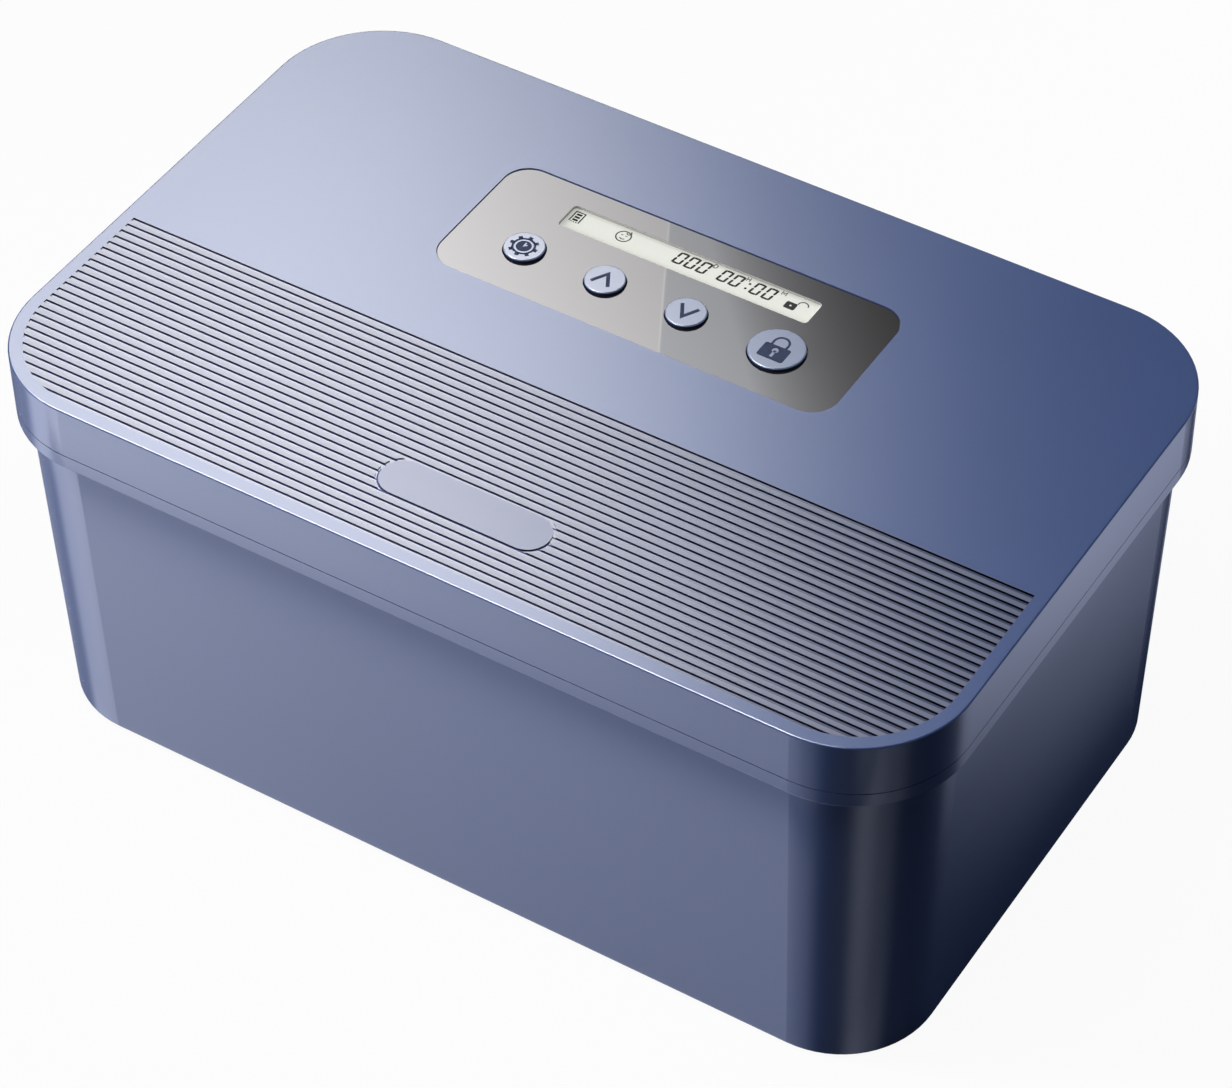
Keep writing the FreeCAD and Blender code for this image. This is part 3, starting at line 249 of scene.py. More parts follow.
def blend_shaders(tree, share, first, second):
    """Mix of two shader nodes: first where share is 0 and second where it is 1; gives its output socket."""
    made = tree.nodes.new("ShaderNodeMixShader")
    if isinstance(share, float):
        made.inputs[0].default_value = share
    else:
        tree.links.new(share, made.inputs[0])
    tree.links.new(first, made.inputs[1])
    tree.links.new(second, made.inputs[2])
    return made.outputs[0]


def split_place(tree, kind="Object"):
    """x, y and z sockets of the given texture coordinate."""
    place = tree.nodes.new("ShaderNodeTexCoord")
    split = tree.nodes.new("ShaderNodeSeparateXYZ")
    tree.links.new(place.outputs[kind], split.inputs[0])
    return split.outputs


def ray_kinds(tree):
    """Two sockets: 1 for the camera's rays, and 1 for the rays that gloss and clear pieces send on."""
    path = tree.nodes.new("ShaderNodeLightPath")
    mirror = calc(tree, "MAXIMUM", path.outputs["Is Glossy Ray"], path.outputs["Is Transmission Ray"])
    return path.outputs["Is Camera Ray"], mirror


def new_group(name, inputs, outputs):
    """A shader node group with float and vector sockets; gives tree, inputs and outputs by name."""
    tree = bpy.data.node_groups.new(name, "ShaderNodeTree")
    for label, kind, default in inputs:
        socket = tree.interface.new_socket(name=label, in_out="INPUT", socket_type=kind)
        if default is not None:
            socket.default_value = default
    for label, kind in outputs:
        tree.interface.new_socket(name=label, in_out="OUTPUT", socket_type=kind)
    entry = tree.nodes.new("NodeGroupInput")
    leave = tree.nodes.new("NodeGroupOutput")
    return tree, entry.outputs, leave.inputs


def moulded_grain():
    """Group: a fine moulded texture and a slow drift of gloss over Object coordinates."""
    tree, given, result = new_group(
        "Moulded grain",
        [("Position", "NodeSocketVector", None), ("Grains per metre", "NodeSocketFloat", 2000.0),
         ("Roughness", "NodeSocketFloat", 0.4), ("Drift", "NodeSocketFloat", 0.04)],
        [("Height", "NodeSocketFloat"), ("Roughness", "NodeSocketFloat"), ("Cloud", "NodeSocketFloat")])
    fine = add_node(tree, "ShaderNodeTexNoise", Detail=3.0, Roughness=0.6)
    tree.links.new(given["Position"], fine.inputs["Vector"])
    tree.links.new(given["Grains per metre"], fine.inputs["Scale"])
    cloud = add_node(tree, "ShaderNodeTexNoise", Scale=14.0, Detail=4.0, Roughness=0.55)
    tree.links.new(given["Position"], cloud.inputs["Vector"])
    swing = calc(tree, "SUBTRACT", cloud.outputs["Fac"], 0.5)
    speck = calc(tree, "SUBTRACT", fine.outputs["Fac"], 0.5)
    mixed = calc(tree, "MULTIPLY_ADD", speck, 0.5, swing)
    rough = calc(tree, "MULTIPLY_ADD", mixed, given["Drift"], given["Roughness"])
    tree.links.new(fine.outputs["Fac"], result["Height"])
    tree.links.new(rough, result["Roughness"])
    tree.links.new(cloud.outputs["Fac"], result["Cloud"])
    return tree


def get_grain():
    """The moulded grain group, built once."""
    return bpy.data.node_groups.get("Moulded grain") or moulded_grain()


def moulded(name, colour, roughness, grain=0.0005, depth=0.00001, drift=0.06, tone=0.0, **sockets):
    """A plastic, rubber or painted finish: plain constants on the shader, grain from the group."""
    material = bpy.data.materials.new(name)
    material.use_nodes = True
    tree = material.node_tree
    shader = tree.nodes["Principled BSDF"]
    shader.inputs["Base Color"].default_value = colour
    for socket, value in sockets.items():
        shader.inputs[socket.replace("_", " ")].default_value = value
    place = tree.nodes.new("ShaderNodeTexCoord")
    texture = tree.nodes.new("ShaderNodeGroup")
    texture.node_tree = get_grain()
    texture.inputs["Grains per metre"].default_value = 1 / grain
    texture.inputs["Roughness"].default_value = roughness
    texture.inputs["Drift"].default_value = drift
    tree.links.new(place.outputs["Object"], texture.inputs["Position"])
    tree.links.new(texture.outputs["Roughness"], shader.inputs["Roughness"])
    if depth:
        bump = add_node(tree, "ShaderNodeBump", Strength=1.0, Distance=depth)
        tree.links.new(texture.outputs["Height"], bump.inputs["Height"])
        tree.links.new(bump.outputs["Normal"], shader.inputs["Normal"])
    if tone:
        shade = tree.nodes.new("ShaderNodeMix")
        shade.data_type = "RGBA"
        shade.inputs["A"].default_value = tuple(c * (1 - tone) for c in colour[:3]) + (1,)
        shade.inputs["B"].default_value = tuple(min(1, c * (1 + tone)) for c in colour[:3]) + (1,)
        tree.links.new(texture.outputs["Cloud"], shade.inputs["Factor"])
        tree.links.new(shade.outputs["Result"], shader.inputs["Base Color"])
    return material


def ribbed_field():
    """Group: masks of the ribbed field, the badge pad's top, the grooves and the groove walls.

    Distance to a rounded rectangle: d = |max(|p - middle| - half, 0)|, inside where d < r. The Wall mask is
    painted
    shade: the groove walls, which take in a thin strip of the floor at the foot of each groove's back wall
    and in front of the badge pad, painted as the walls' shadow and dark reflection.
    """
    tree, given, result = new_group(
        "Ribbed field", [("Position", "NodeSocketVector", None)],
        [(label, "NodeSocketFloat") for label in ("Field", "Pad", "Sunk", "Wall")])
    split = tree.nodes.new("ShaderNodeSeparateXYZ")
    tree.links.new(given["Position"], split.inputs[0])
    x, y, z = split.outputs

    def inside(middle_y, half_x, half_y, radius):
        away_x = calc(tree, "MAXIMUM", calc(tree, "SUBTRACT", calc(tree, "ABSOLUTE", x), half_x), 0)
        off_y = calc(tree, "ABSOLUTE", calc(tree, "SUBTRACT", y, middle_y))
        away_y = calc(tree, "MAXIMUM", calc(tree, "SUBTRACT", off_y, half_y), 0)
        total = calc(tree, "ADD", calc(tree, "POWER", away_x, 2), calc(tree, "POWER", away_y, 2))
        return calc(tree, "LESS_THAN", total, radius ** 2)

    field = calc(tree, "MULTIPLY", inside(*FIELD_SHAPE), calc(tree, "LESS_THAN", y, FIELD_BACK))
    field = calc(tree, "MULTIPLY", field, calc(tree, "GREATER_THAN", z, LID_TOP - FIELD_THICKNESS))
    sunk = calc(tree, "MULTIPLY", field, calc(tree, "LESS_THAN", z, LID_TOP - UNDER_LID))
    pad = inside(*PAD_SHAPE)
    # painted shade: a strip of groove floor at the foot of each back wall, for the wall's shadow and its
    # dark reflection in the floor
    along = calc(tree, "MODULO", calc(tree, "SUBTRACT", -GROOVE_START, y), GROOVE_PITCH)
    foot = calc(tree, "LESS_THAN", along, FOOT_SHADE_WIDTH)
    # painted shadow: a strip of the moat floor in front of the badge pad
    moat = inside(*PAD_SHAPE[:3], PAD_SHAPE[3] + FOOT_SHADE_WIDTH)
    moat = calc(tree, "MULTIPLY", moat, calc(tree, "LESS_THAN", y, PAD_SHAPE[0]))
    foot = calc(tree, "MAXIMUM", foot, moat)
    # the groove walls themselves, painted near black as shade
    upright = calc(tree, "GREATER_THAN", z, LID_TOP - GROOVE_DEPTH + UNDER_LID)
    tree.links.new(field, result["Field"])
    tree.links.new(calc(tree, "MULTIPLY", pad, calc(tree, "SUBTRACT", field, sunk)), result["Pad"])
    tree.links.new(sunk, result["Sunk"])
    tree.links.new(calc(tree, "MULTIPLY", sunk, calc(tree, "MAXIMUM", foot, upright)), result["Wall"])
    return tree


def mix_colours(tree, share, first, second):
    """Colour mix; first and second are colours or sockets."""
    made = tree.nodes.new("ShaderNodeMix")
    made.data_type = "RGBA"
    for socket, term in ((made.inputs["A"], first), (made.inputs["B"], second)):
        if isinstance(term, tuple):
            socket.default_value = term
        else:
            tree.links.new(term, socket)
    tree.links.new(share, made.inputs["Factor"])
    return made.outputs["Result"]


def feed(material):
    """The tree, shader and present colour and roughness sockets of a moulded material."""
    tree = material.node_tree
    shader = tree.nodes["Principled BSDF"]
    links = {link.to_socket.name: link.from_socket for link in tree.links if link.to_node == shader}
    return tree, shader, links.get("Base Color"), links["Roughness"]


def ribbed_body(body):
    """The body plastic with greyer rib tops and glossier grooves; painted shade makes the groove floors
    darker and the walls nearly black.
    """
    material = moulded("Body blue", tuple(body.colour), body.roughness, body.grain, body.grain_depth,
                       drift=0.03, tone=0.04, IOR=1.5, Specular_IOR_Level=BODY_SPECULAR,
                       Specular_Tint=BODY_TINT, Coat_Roughness=GROOVE_ROUGHNESS)
    tree, shader, colour, roughness = feed(material)
    place = tree.nodes.new("ShaderNodeTexCoord")
    masks = tree.nodes.new("ShaderNodeGroup")
    masks.node_tree = ribbed_field()
    tree.links.new(place.outputs["Object"], masks.inputs["Position"])
    field, sunk, wall = masks.outputs["Field"], masks.outputs["Sunk"], masks.outputs["Wall"]
    toned = mix_colours(tree, field, colour, tuple(body.rib_colour))
    toned = mix_colours(tree, masks.outputs["Pad"], toned, PAD_COLOUR)
    # painted shade: the groove floors take the darker groove colour
    toned = mix_colours(tree, sunk, toned, tuple(body.groove_shade_colour))
    # painted shade: near black on the groove walls and the strips at their foot
    toned = mix_colours(tree, wall, toned, WALL_SHADE_COLOUR)
    tree.links.new(toned, shader.inputs["Base Color"])
    dulled = blend_values(tree, field, roughness, body.rib_roughness)
    dulled = blend_values(tree, sunk, dulled, GROOVE_ROUGHNESS)
    tree.links.new(dulled, shader.inputs["Roughness"])
    floors = calc(tree, "SUBTRACT", sunk, wall)
    tree.links.new(calc(tree, "MULTIPLY", floors, GROOVE_COAT), shader.inputs["Coat Weight"])
    # the painted-shade walls are metallic, so their near-black colour also takes away their reflection
    tree.links.new(wall, shader.inputs["Metallic"])
    return material


def two_tone_cap(buttons):
    """Button plastic: pale over the rim and dark navy down the side, by height."""
    material = moulded("Button cap", tuple(buttons.cap_colour), CAP_ROUGHNESS, 0.0004, 0.000002,
                       drift=0.03, tone=0.02, Specular_IOR_Level=CAP_SPECULAR)
    tree, shader, colour = feed(material)[:3]
    top = step_up(tree, split_place(tree)[2], CAP_TOP - CAP_RIM[0], CAP_TOP - CAP_RIM[1])
    tree.links.new(mix_colours(tree, top, tuple(buttons.side_colour), colour), shader.inputs["Base Color"])
    return material


def fascia_gloss(panel):
    """Smoky gloss; the walls of the display opening, below the face, are painted pale like the display, as
    the soft painted shade of its edge.
    """
    material = moulded("Fascia gloss", tuple(panel.fascia_colour), 0.01, 0.004, 0.0, drift=0.002,
                       IOR=1.5, Specular_IOR_Level=FASCIA_SPECULAR, Specular_Tint=FASCIA_TINT)
    tree, shader = feed(material)[:2]
    x, y, z = split_place(tree)
    low = calc(tree, "LESS_THAN", z, FASCIA_TOP - UNDER_FASCIA)
    off_middle = calc(tree, "ABSOLUTE", calc(tree, "SUBTRACT", y, WINDOW_Y))
    near = calc(tree, "MULTIPLY", calc(tree, "LESS_THAN", off_middle, WINDOW_HALF[1]),
                calc(tree, "LESS_THAN", calc(tree, "ABSOLUTE", x), WINDOW_HALF[0]))
    wall = calc(tree, "MULTIPLY", low, near)
    # painted shade: the opening's walls take the pale grey of the display's shaded edge
    tone = mix_colours(tree, wall, tuple(panel.fascia_colour), OPENING_SHADE_GREY)
    tree.links.new(tone, shader.inputs["Base Color"])
    return material


def display_ground(panel):
    """Pale matt ground with a painted glow of its own colour, and painted shadow along the back and left
    edges of its opening.
    """
    # the display ground's emission is a painted glow that stands for the backlight's light
    material = moulded("Display ground", tuple(panel.display_colour), 0.6, 0.0002, 0.0,
                       Specular_IOR_Level=0.0, Emission_Color=tuple(panel.display_colour),
                       Emission_Strength=DISPLAY_GLOW)
    tree, shader = feed(material)[:2]
    x, y = split_place(tree)[:2]
    # painted shadow of the opening's back and left walls on the display ground
    back = step_up(tree, y, WINDOW_Y + BACK_SHADOW_EDGE[0], WINDOW_Y + BACK_SHADOW_EDGE[1])
    left = step_up(tree, calc(tree, "MULTIPLY", x, -1), *LEFT_SHADOW_EDGE)
    dim = calc(tree, "MAXIMUM", back, left)
    shaded = tuple(value * EDGE_SHADE for value in panel.display_colour[:3]) + (1,)
    tree.links.new(mix_colours(tree, dim, tuple(panel.display_colour), shaded), shader.inputs["Base Color"])
    return material


def dress(slot_name, material):
    """Gives a material to every packed node that has the record's slot of that name."""
    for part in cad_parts.values():
        for slot in part.material_slots:
            if slot.material and slot.material.name.split(".")[0] == slot_name:
                slot.material = material


# ---------------------------------------------------------------- flat marks

def plate(outline, low, high):
    """Solid between two heights over a star-shaped outline: p = middle + s (outline - middle), s up to 1."""
    rim = np.asarray(outline, float)
    count = len(rim)
    middle = rim.mean(axis=0)
    levels = np.repeat([high, low], count)
    sides = np.column_stack([np.vstack([rim, rim]), levels])
    poles = np.array([[*middle, high], [*middle, low]])
    near = np.arange(count)
    far = (near + 1) % count
    top = np.column_stack([near, far, np.full(count, 2 * count)])
    base = np.column_stack([far + count, near + count, np.full(count, 2 * count + 1)])
    wall = np.column_stack([near, near + count, far + count, far])
    return np.vstack([sides, poles]), top.tolist() + base.tolist() + wall.tolist()


def ring(inner, outer, low, high):
    """Solid band between two closed outlines with the same number of points."""
    loops = [(outer, high), (outer, low), (inner, low), (inner, high)]
    count = len(outer)
    points = np.vstack([np.column_stack([np.asarray(loop, float), np.full(count, z)]) for loop, z in loops])
    near = np.arange(count)
    far = (near + 1) % count
    faces = []
    for k in range(4):
        a, b = k * count, (k + 1) % 4 * count
        faces += np.column_stack([near + a, near + b, far + b, far + a]).tolist()
    return points, faces


def stroke(path, width, low, high):
    """A bar of even width along an open path: p = path + n w / 2 on both sides, n the mitred normal."""
    line = np.asarray(path, float)
    run = np.diff(line, axis=0)
    run /= np.linalg.norm(run, axis=1)[:, None]
    before = np.vstack([run[:1], run])
    after = np.vstack([run, run[-1:]])
    along = before + after
    along /= np.linalg.norm(along, axis=1)[:, None]
    side = np.column_stack([-along[:, 1], along[:, 0]])
    reach = width / 2 / np.clip((along * before).sum(axis=1), 0.5, 1)
    left = line + side * reach[:, None]
    right = line - side * reach[:, None]
    count = len(line)
    loops = [(left, high), (right, high), (right, low), (left, low)]
    points = np.vstack([np.column_stack([loop, np.full(count, z)]) for loop, z in loops])
    near = np.arange(count - 1)
    faces = []
    for k in range(4):
        a, b = k * count, (k + 1) % 4 * count
        faces += np.column_stack([near + a, near + b, near + b + 1, near + a + 1]).tolist()
    first = [k * count for k in range(4)]
    last = [k * count + count - 1 for k in (3, 2, 1, 0)]
    return points, faces + [first, last]


def disc_outline(centre, radius, count=48):
    """Circle: centre + r (cos t, sin t)."""
    t = np.linspace(0, 2 * np.pi, count, endpoint=False)
    return np.column_stack([centre[0] + radius * np.cos(t), centre[1] + radius * np.sin(t)])


def arc_path(centre, radius, start, end, count=20):
    """Arc of a circle between two angles in degrees."""
    t = np.radians(np.linspace(start, end, count))
    return np.column_stack([centre[0] + radius * np.cos(t), centre[1] + radius * np.sin(t)])


def rounded_outline(centre, width, height, radius, steps=6):
    """Rectangle with round corners: four quarter circles joined."""
    half = np.array([width / 2 - radius, height / 2 - radius])
    t = np.radians(np.linspace(0, 90, steps))
    quarter = radius * np.column_stack([np.cos(t), np.sin(t)])
    turned = []
    for k, (sx, sy) in enumerate(((1, 1), (-1, 1), (-1, -1), (1, -1))):
        c, s = math.cos(k * math.pi / 2), math.sin(k * math.pi / 2)
        spin = quarter @ np.array([[c, s], [-s, c]])
        turned.append(spin + half * (sx, sy))
    return np.vstack(turned) + centre


def build_piece(name, solids, body, material):
    """Joins the solids into one mesh piece in metres that rides on a body."""
    points, faces, count = [], [], 0
    for solid_points, solid_faces in solids:
        points.append(np.asarray(solid_points, float))
        faces += [[i + count for i in face] for face in solid_faces]
        count += len(solid_points)
    mesh = bpy.data.meshes.new(name)
    mesh.from_pydata(np.vstack(points) * MM, [], faces)
    mesh.validate()
    mesh.update()
    piece = bpy.data.objects.new(name, mesh)
    bpy.context.scene.collection.objects.link(piece)
    mesh.materials.append(material)
    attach(piece, body)


# ---------------------------------------------------------------- operators

class LOCK_OT_body(bpy.types.Operator):
    """Satin slate blue on the lid and tub, a duller tone inside, rubber on the feet"""
    bl_idname = "lock.body"
    bl_label = "Body finishes"

    def execute(self, context):
        body = context.scene.lock_body
        dress("shell_blue", ribbed_body(body))
        dress("inner_blue", moulded(
            "Inner blue", (0.05, 0.075, 0.16, 1), 0.5, 0.0004, 0.00001, tone=0.05))
        dress("foot_rubber", moulded(
            "Foot rubber", (0.03, 0.03, 0.034, 1), 0.75, 0.0003, 0.00002, drift=0.12))
        return {"FINISHED"}


class LOCK_OT_panel(bpy.types.Operator):
    """Glossy smoky fascia, clear window and pale display ground"""
    bl_idname = "lock.panel"
    bl_label = "Panel finishes"

    def execute(self, context):
        panel = context.scene.lock_panel
        dress("fascia_gloss", fascia_gloss(panel))
        dress("clear_window", moulded(
            "Clear window", (1, 1, 1, 1), 0.12, 0.003, 0.0, drift=0.02,
            Alpha=0.03, Specular_IOR_Level=0.0))
        dress("display_cream", display_ground(panel))
        dress("backlight_white", moulded("Backlight", (0.8, 0.8, 0.78, 1), 0.5))
        return {"FINISHED"}


class LOCK_OT_works(bpy.types.Operator):
    """Finishes of the lock works, board, cells, leads and metal parts"""
    bl_idname = "lock.works"
    bl_label = "Works finishes"

    def execute(self, context):
        plastics = {
            "strip_rubber": ((0.2, 0.2, 0.21, 1), 0.7),
            "black_plastic": ((0.018, 0.018, 0.02, 1), 0.42),
            "gear_white": ((0.72, 0.71, 0.67, 1), 0.4),
            "cell_jacket": ((0.08, 0.1, 0.13, 1), 0.3),
            "lead_red": ((0.42, 0.02, 0.015, 1), 0.45),
            "lead_black": ((0.012, 0.012, 0.013, 1), 0.45),
            "board_green": ((0.015, 0.1, 0.045, 1), 0.35),
        }
        for name, (colour, roughness) in plastics.items():
            dress(name, moulded(name.replace("_", " "), colour, roughness, tone=0.08))
        metals = {
            "bright_steel": ((0.62, 0.62, 0.63, 1), 0.25),
            "pinion_brass": ((0.70, 0.50, 0.22, 1), 0.28),
            "plate_grey": ((0.42, 0.43, 0.44, 1), 0.4),
        }
        for name, (colour, roughness) in metals.items():
            dress(name, moulded(name.replace("_", " "), colour, roughness, 0.0008, 0.000004,
                                drift=0.15, Metallic=1.0))
        return {"FINISHED"}


# display marks, in millimetres
DISPLAY_TOP = 119.05
MARK_LEVEL = (DISPLAY_TOP, DISPLAY_TOP + 0.03)
DIGIT_PLACES = (-4.8, -1.32, 2.2, 8.42, 11.92, 18.0, 21.6)
DIGIT_BOTTOM = 41.1
SEGMENT_GAP = 0.06
COLON_PLACES = ((16.9, 42.15), (17.1, 44.2))
COLON_WIDTH = 0.62
LETTER_BOTTOM = 44.85
LETTER_HEIGHT = 1.35
LETTER_STROKE = 0.24
# left edge of each letter and its strokes, in letter heights
UNIT_LETTERS = (
    (5.75, [[(0, 0), (0, 1)], [(0, 1), (0.45, 1), (0.72, 0.72), (0.72, 0.28), (0.45, 0), (0, 0)]]),
    (15.6, [[(0, 0), (0, 1)], [(0.62, 0), (0.62, 1)], [(0, 0.5), (0.62, 0.5)]]),
    (25.85, [[(0, 0), (0, 1), (0.45, 0.35), (0.9, 1), (0.9, 0)]]),
)
# left, right, bottom and top of the battery sign
BATTERY_FRAME = (-35.6, -32.85, 41.4, 45.35)
FACE_MIDDLE = np.array([-20.1, 43.2])
OPEN_LOCK_MIDDLE = np.array([30.0, 42.4])
OPEN_SHACKLE_MIDDLE = (32.85, 43.85)
MARK_ROUGHNESS = 0.6


def segment(name, left, bottom, width, height, thick, slant):
    """One pointed bar of a bar digit's rim, leaning by slant: x' = x + y tan(slant)."""
    middle = height / 2
    half = thick / 2
    ends = {
        "a": ((0, height - half), (width, height - half)),
        "d": ((0, half), (width, half)),
        "f": ((half, middle), (half, height)),
        "e": ((half, 0), (half, middle)),
        "b": ((width - half, middle), (width - half, height)),
        "c": ((width - half, 0), (width - half, middle)),
    }[name]
    start, end = np.array(ends[0], float), np.array(ends[1], float)
    along = (end - start) / np.linalg.norm(end - start)
    across = np.array([-along[1], along[0]])
    trim = along * (half + SEGMENT_GAP if name in "ad" else SEGMENT_GAP)
    start, end = start + trim, end - trim
    outline = np.array([
        start, start + along * half - across * half, end - along * half - across * half,
        end, end - along * half + across * half, start + along * half + across * half])
    outline[:, 0] += outline[:, 1] * math.tan(slant)
    return plate(outline + (left, bottom), *MARK_LEVEL)


def letter(strokes, left):
    """Small display letter: straight strokes between points given in letter heights."""
    corner = (left, LETTER_BOTTOM)
    return [stroke(np.array(path, float) * LETTER_HEIGHT + corner, LETTER_STROKE, *MARK_LEVEL)
            for path in strokes]


def battery_sign():
    """Upright cell: a frame with a dashed foot and three level bars in it."""
    left, right, low, high = BATTERY_FRAME
    bars = [stroke([(left, low), (left, high), (right, high), (right, low)], 0.34, *MARK_LEVEL)]
    for x in np.linspace(left + 0.5, right - 0.8, 3):
        bars.append(stroke([(x, low), (x + 0.4, low)], 0.3, *MARK_LEVEL))
    for y in np.linspace(low + 0.85, high - 0.9, 3):
        bars.append(stroke([(left + 0.6, y), (right - 0.6, y)], 0.72, *MARK_LEVEL))
    return bars


def child_sign():
    """Plain round face: a ring, two eyes, a smile and a tuft."""
    middle = FACE_MIDDLE
    eyes = [arc_path(middle + (side * 0.62, 0.2), 0.26, 20, 160, 6) for side in (-1, 1)]
    smile = arc_path(middle + (0, -0.25), 0.85, 215, 325, 10)
    tuft = arc_path(middle + (0.75, 1.75), 0.62, -170, 70, 10)
    return [ring(disc_outline(middle, 1.85), disc_outline(middle, 2.17), *MARK_LEVEL),
            *(stroke(eye, 0.2, *MARK_LEVEL) for eye in eyes),
            stroke(smile, 0.26, *MARK_LEVEL), stroke(tuft, 0.28, *MARK_LEVEL)]


def open_lock_sign():
    """Padlock with its shackle swung open to the right.

    Its body is a box round the keyhole: p = middle + r (cos t, sin t), r = min(w / |cos t|, h / |sin t|).
    """
    half_width, half_height, corners = 1.55, 1.3, 24
    hole = disc_outline(OPEN_LOCK_MIDDLE + (0, 0.05), 0.32, corners)
    t = np.linspace(0, 2 * np.pi, corners, endpoint=False)
    reach = np.minimum(half_width / np.maximum(np.abs(np.cos(t)), 1e-6),
                       half_height / np.maximum(np.abs(np.sin(t)), 1e-6))
    body = OPEN_LOCK_MIDDLE + np.column_stack([reach * np.cos(t), reach * np.sin(t)])
    shackle = arc_path(OPEN_SHACKLE_MIDDLE, 1.4, 185, 5, 16)
    return [ring(hole, body, *MARK_LEVEL), stroke(shackle, 0.3, *MARK_LEVEL)]


class LOCK_OT_marks(bpy.types.Operator):
    """Digits and signs of the display"""
    bl_idname = "lock.marks"
    bl_label = "Display marks"

    def execute(self, context):
        panel = context.scene.lock_panel
        ink = moulded("Display ink", tuple(panel.mark_colour), MARK_ROUGHNESS, 0.0002, 0.0,
                      Specular_IOR_Level=0.0)
        soft_ink = moulded("Display pale ink", (0.06, 0.06, 0.055, 1), MARK_ROUGHNESS, 0.0002, 0.0,
                           Specular_IOR_Level=0.0)
        width, height = panel.digit_width / MM, panel.digit_height / MM
        thick, slant = panel.segment_width / MM, panel.slant
        digits = [segment(name, left, DIGIT_BOTTOM, width, height, thick, slant)
                  for left in DIGIT_PLACES for name in "abcdef"]
        dots = [plate(rounded_outline(place, COLON_WIDTH, COLON_WIDTH, 0.1), *MARK_LEVEL)
                for place in COLON_PLACES]
        letters = [bar for left, strokes in UNIT_LETTERS for bar in letter(strokes, left)]
        for name, solids, colour in (
                ("display_digits", digits + dots, ink), ("display_letters", letters, soft_ink),
                ("display_battery_sign", battery_sign(), ink), ("display_child_sign", child_sign(), ink),
                ("display_open_lock_sign", open_lock_sign(), ink)):
            build_piece(name, solids, "lid", colour)
        return {"FINISHED"}


# middles of the gear and padlock signs on their buttons, in millimetres
GEAR_MIDDLE = np.array([-38.86, 25.08])
LOCK_MIDDLE = np.array([36.2, 23.5])
GEAR_TEETH = 8
PALE_OVER_DARK = 0.01


def button_prints(low, high):
    """Dark and pale solids of each button's sign, between two heights; the pale ones lie on the dark."""
    over = high + PALE_OVER_DARK
    gear, lock = GEAR_MIDDLE, LOCK_MIDDLE
    teeth = []
    for k in range(GEAR_TEETH):
        t = math.radians(360 / GEAR_TEETH * k)
        way = np.array([math.cos(t), math.sin(t)])
        teeth.append(stroke([gear + way * 3.0, gear + way * 3.95], 1.1, low, high))
    wheel = [ring(disc_outline(gear, 2.6), disc_outline(gear, 3.2), low, high),
             plate(disc_outline(gear, 2.05), low, high)]
    hands = [stroke([gear + (0, 1.4), gear, gear + (0.7, 0.7)], 0.42, high, over)]
    up = [stroke([(-17.2, 22.85), (-14.65, 27.2), (-12.2, 22.85)], 1.0, low, high)]
    down = [stroke([(7.2, 27.5), (9.65, 23.1), (12.15, 27.5)], 1.0, low, high)]
    bow = arc_path(lock + (0, 3.9), 2.05, 180, 0, 18)
    shackle = np.vstack([[lock + (-2.05, 2.5)], bow, [lock + (2.05, 2.5)]])
    body = [plate(rounded_outline(lock, 7.4, 5.3, 0.6), low, high), stroke(shackle, 0.62, low, high)]
    keyhole = [plate(disc_outline(lock + (0, 0.75), 0.85, 24), high, over),
               stroke([lock + (0, 0.75), lock + (0, -1.75)], 0.75, high, over)]
    return {"set": (teeth + wheel, hands), "up": (up, []), "down": (down, []), "lock": (body, keyhole)}


class LOCK_OT_buttons(bpy.types.Operator):
    """Pale caps and their printed signs"""
    bl_idname = "lock.buttons"
    bl_label = "Buttons"

    def execute(self, context):
        buttons = context.scene.lock_buttons
        dress("button_blue", two_tone_cap(buttons))
        dark = moulded("Button print", tuple(buttons.print_colour), 0.5, 0.0003, 0.0,
                       Specular_IOR_Level=0.05)
        pale = moulded("Button print gap", tuple(buttons.cap_colour), CAP_ROUGHNESS, 0.0003, 0.0,
                       Specular_IOR_Level=CAP_SPECULAR)
        low = CAP_TOP / MM
        high = low + buttons.print_thickness / MM
        for name, (dark_solids, pale_solids) in button_prints(low, high).items():
            build_piece(f"print_{name}", dark_solids, f"button_{name}", dark)
            if pale_solids:
                build_piece(f"print_{name}_gap", pale_solids, f"button_{name}", pale)
        return {"FINISHED"}


# ---------------------------------------------------------------- studio

FLOOR_HEIGHT = -0.0001
CAMERA_PLACE = Vector((0.42009, -0.65250, 0.82584))
CAMERA_AIM = Vector((-0.364507, 0.598515, -0.713382))
CAMERA_SENSOR = 36
CAMERA_SHIFT = (-0.0506, 0.0407)
CAMERA_CLIP = 0.05
# name, heading and height in degrees, distance and width in metres, and the value that sets the level
LAMPS = (
    ("side_lamp", -154, 14, 3.0, 0.85, "side_level"),
    ("top_lamp", -80, 75, 0.55, 0.3, "top_level"),
    ("right_lamp", 60, 16, 0.8, 0.4, "right_level"))
LAMP_TARGET = Vector((0, 0, 0.06))

# The sky that gloss shows. Its places are in decimetres on the lid's top, where a mirror lying there would
# show that direction: side is the way to the right and nearer the way to the front. Slopes are
# (gain with side, gain with depth, level in the middle), and pairs are where a smooth step starts and ends.
CARD_EDGE = ((-0.011, 0.051), (0.0115, 0.0094))
CARD_SLOPE = (-0.25, -0.36, 0.52)
CARD_LEAST = 0.02
CARD_ROOF, CARD_ROOF_GAIN, CARD_MOST = 0.67, 0.17, 0.85
CARD_START = (-3.4, -1.0)
CARD_STEP = (-0.0002, 0.0001)
RIM_STEPS = ((0.0001, 0.0002), (0.0003, 0.00045))
RIM_GAIN = 0.28
# the slope of the exponent of the dark part, its nearest depth, and its most as a share of the card
DARK_SLOPE = (-4.05, -3.95, 0.724)
DARK_DEPTH = -0.15
DARK_MOST = 0.78
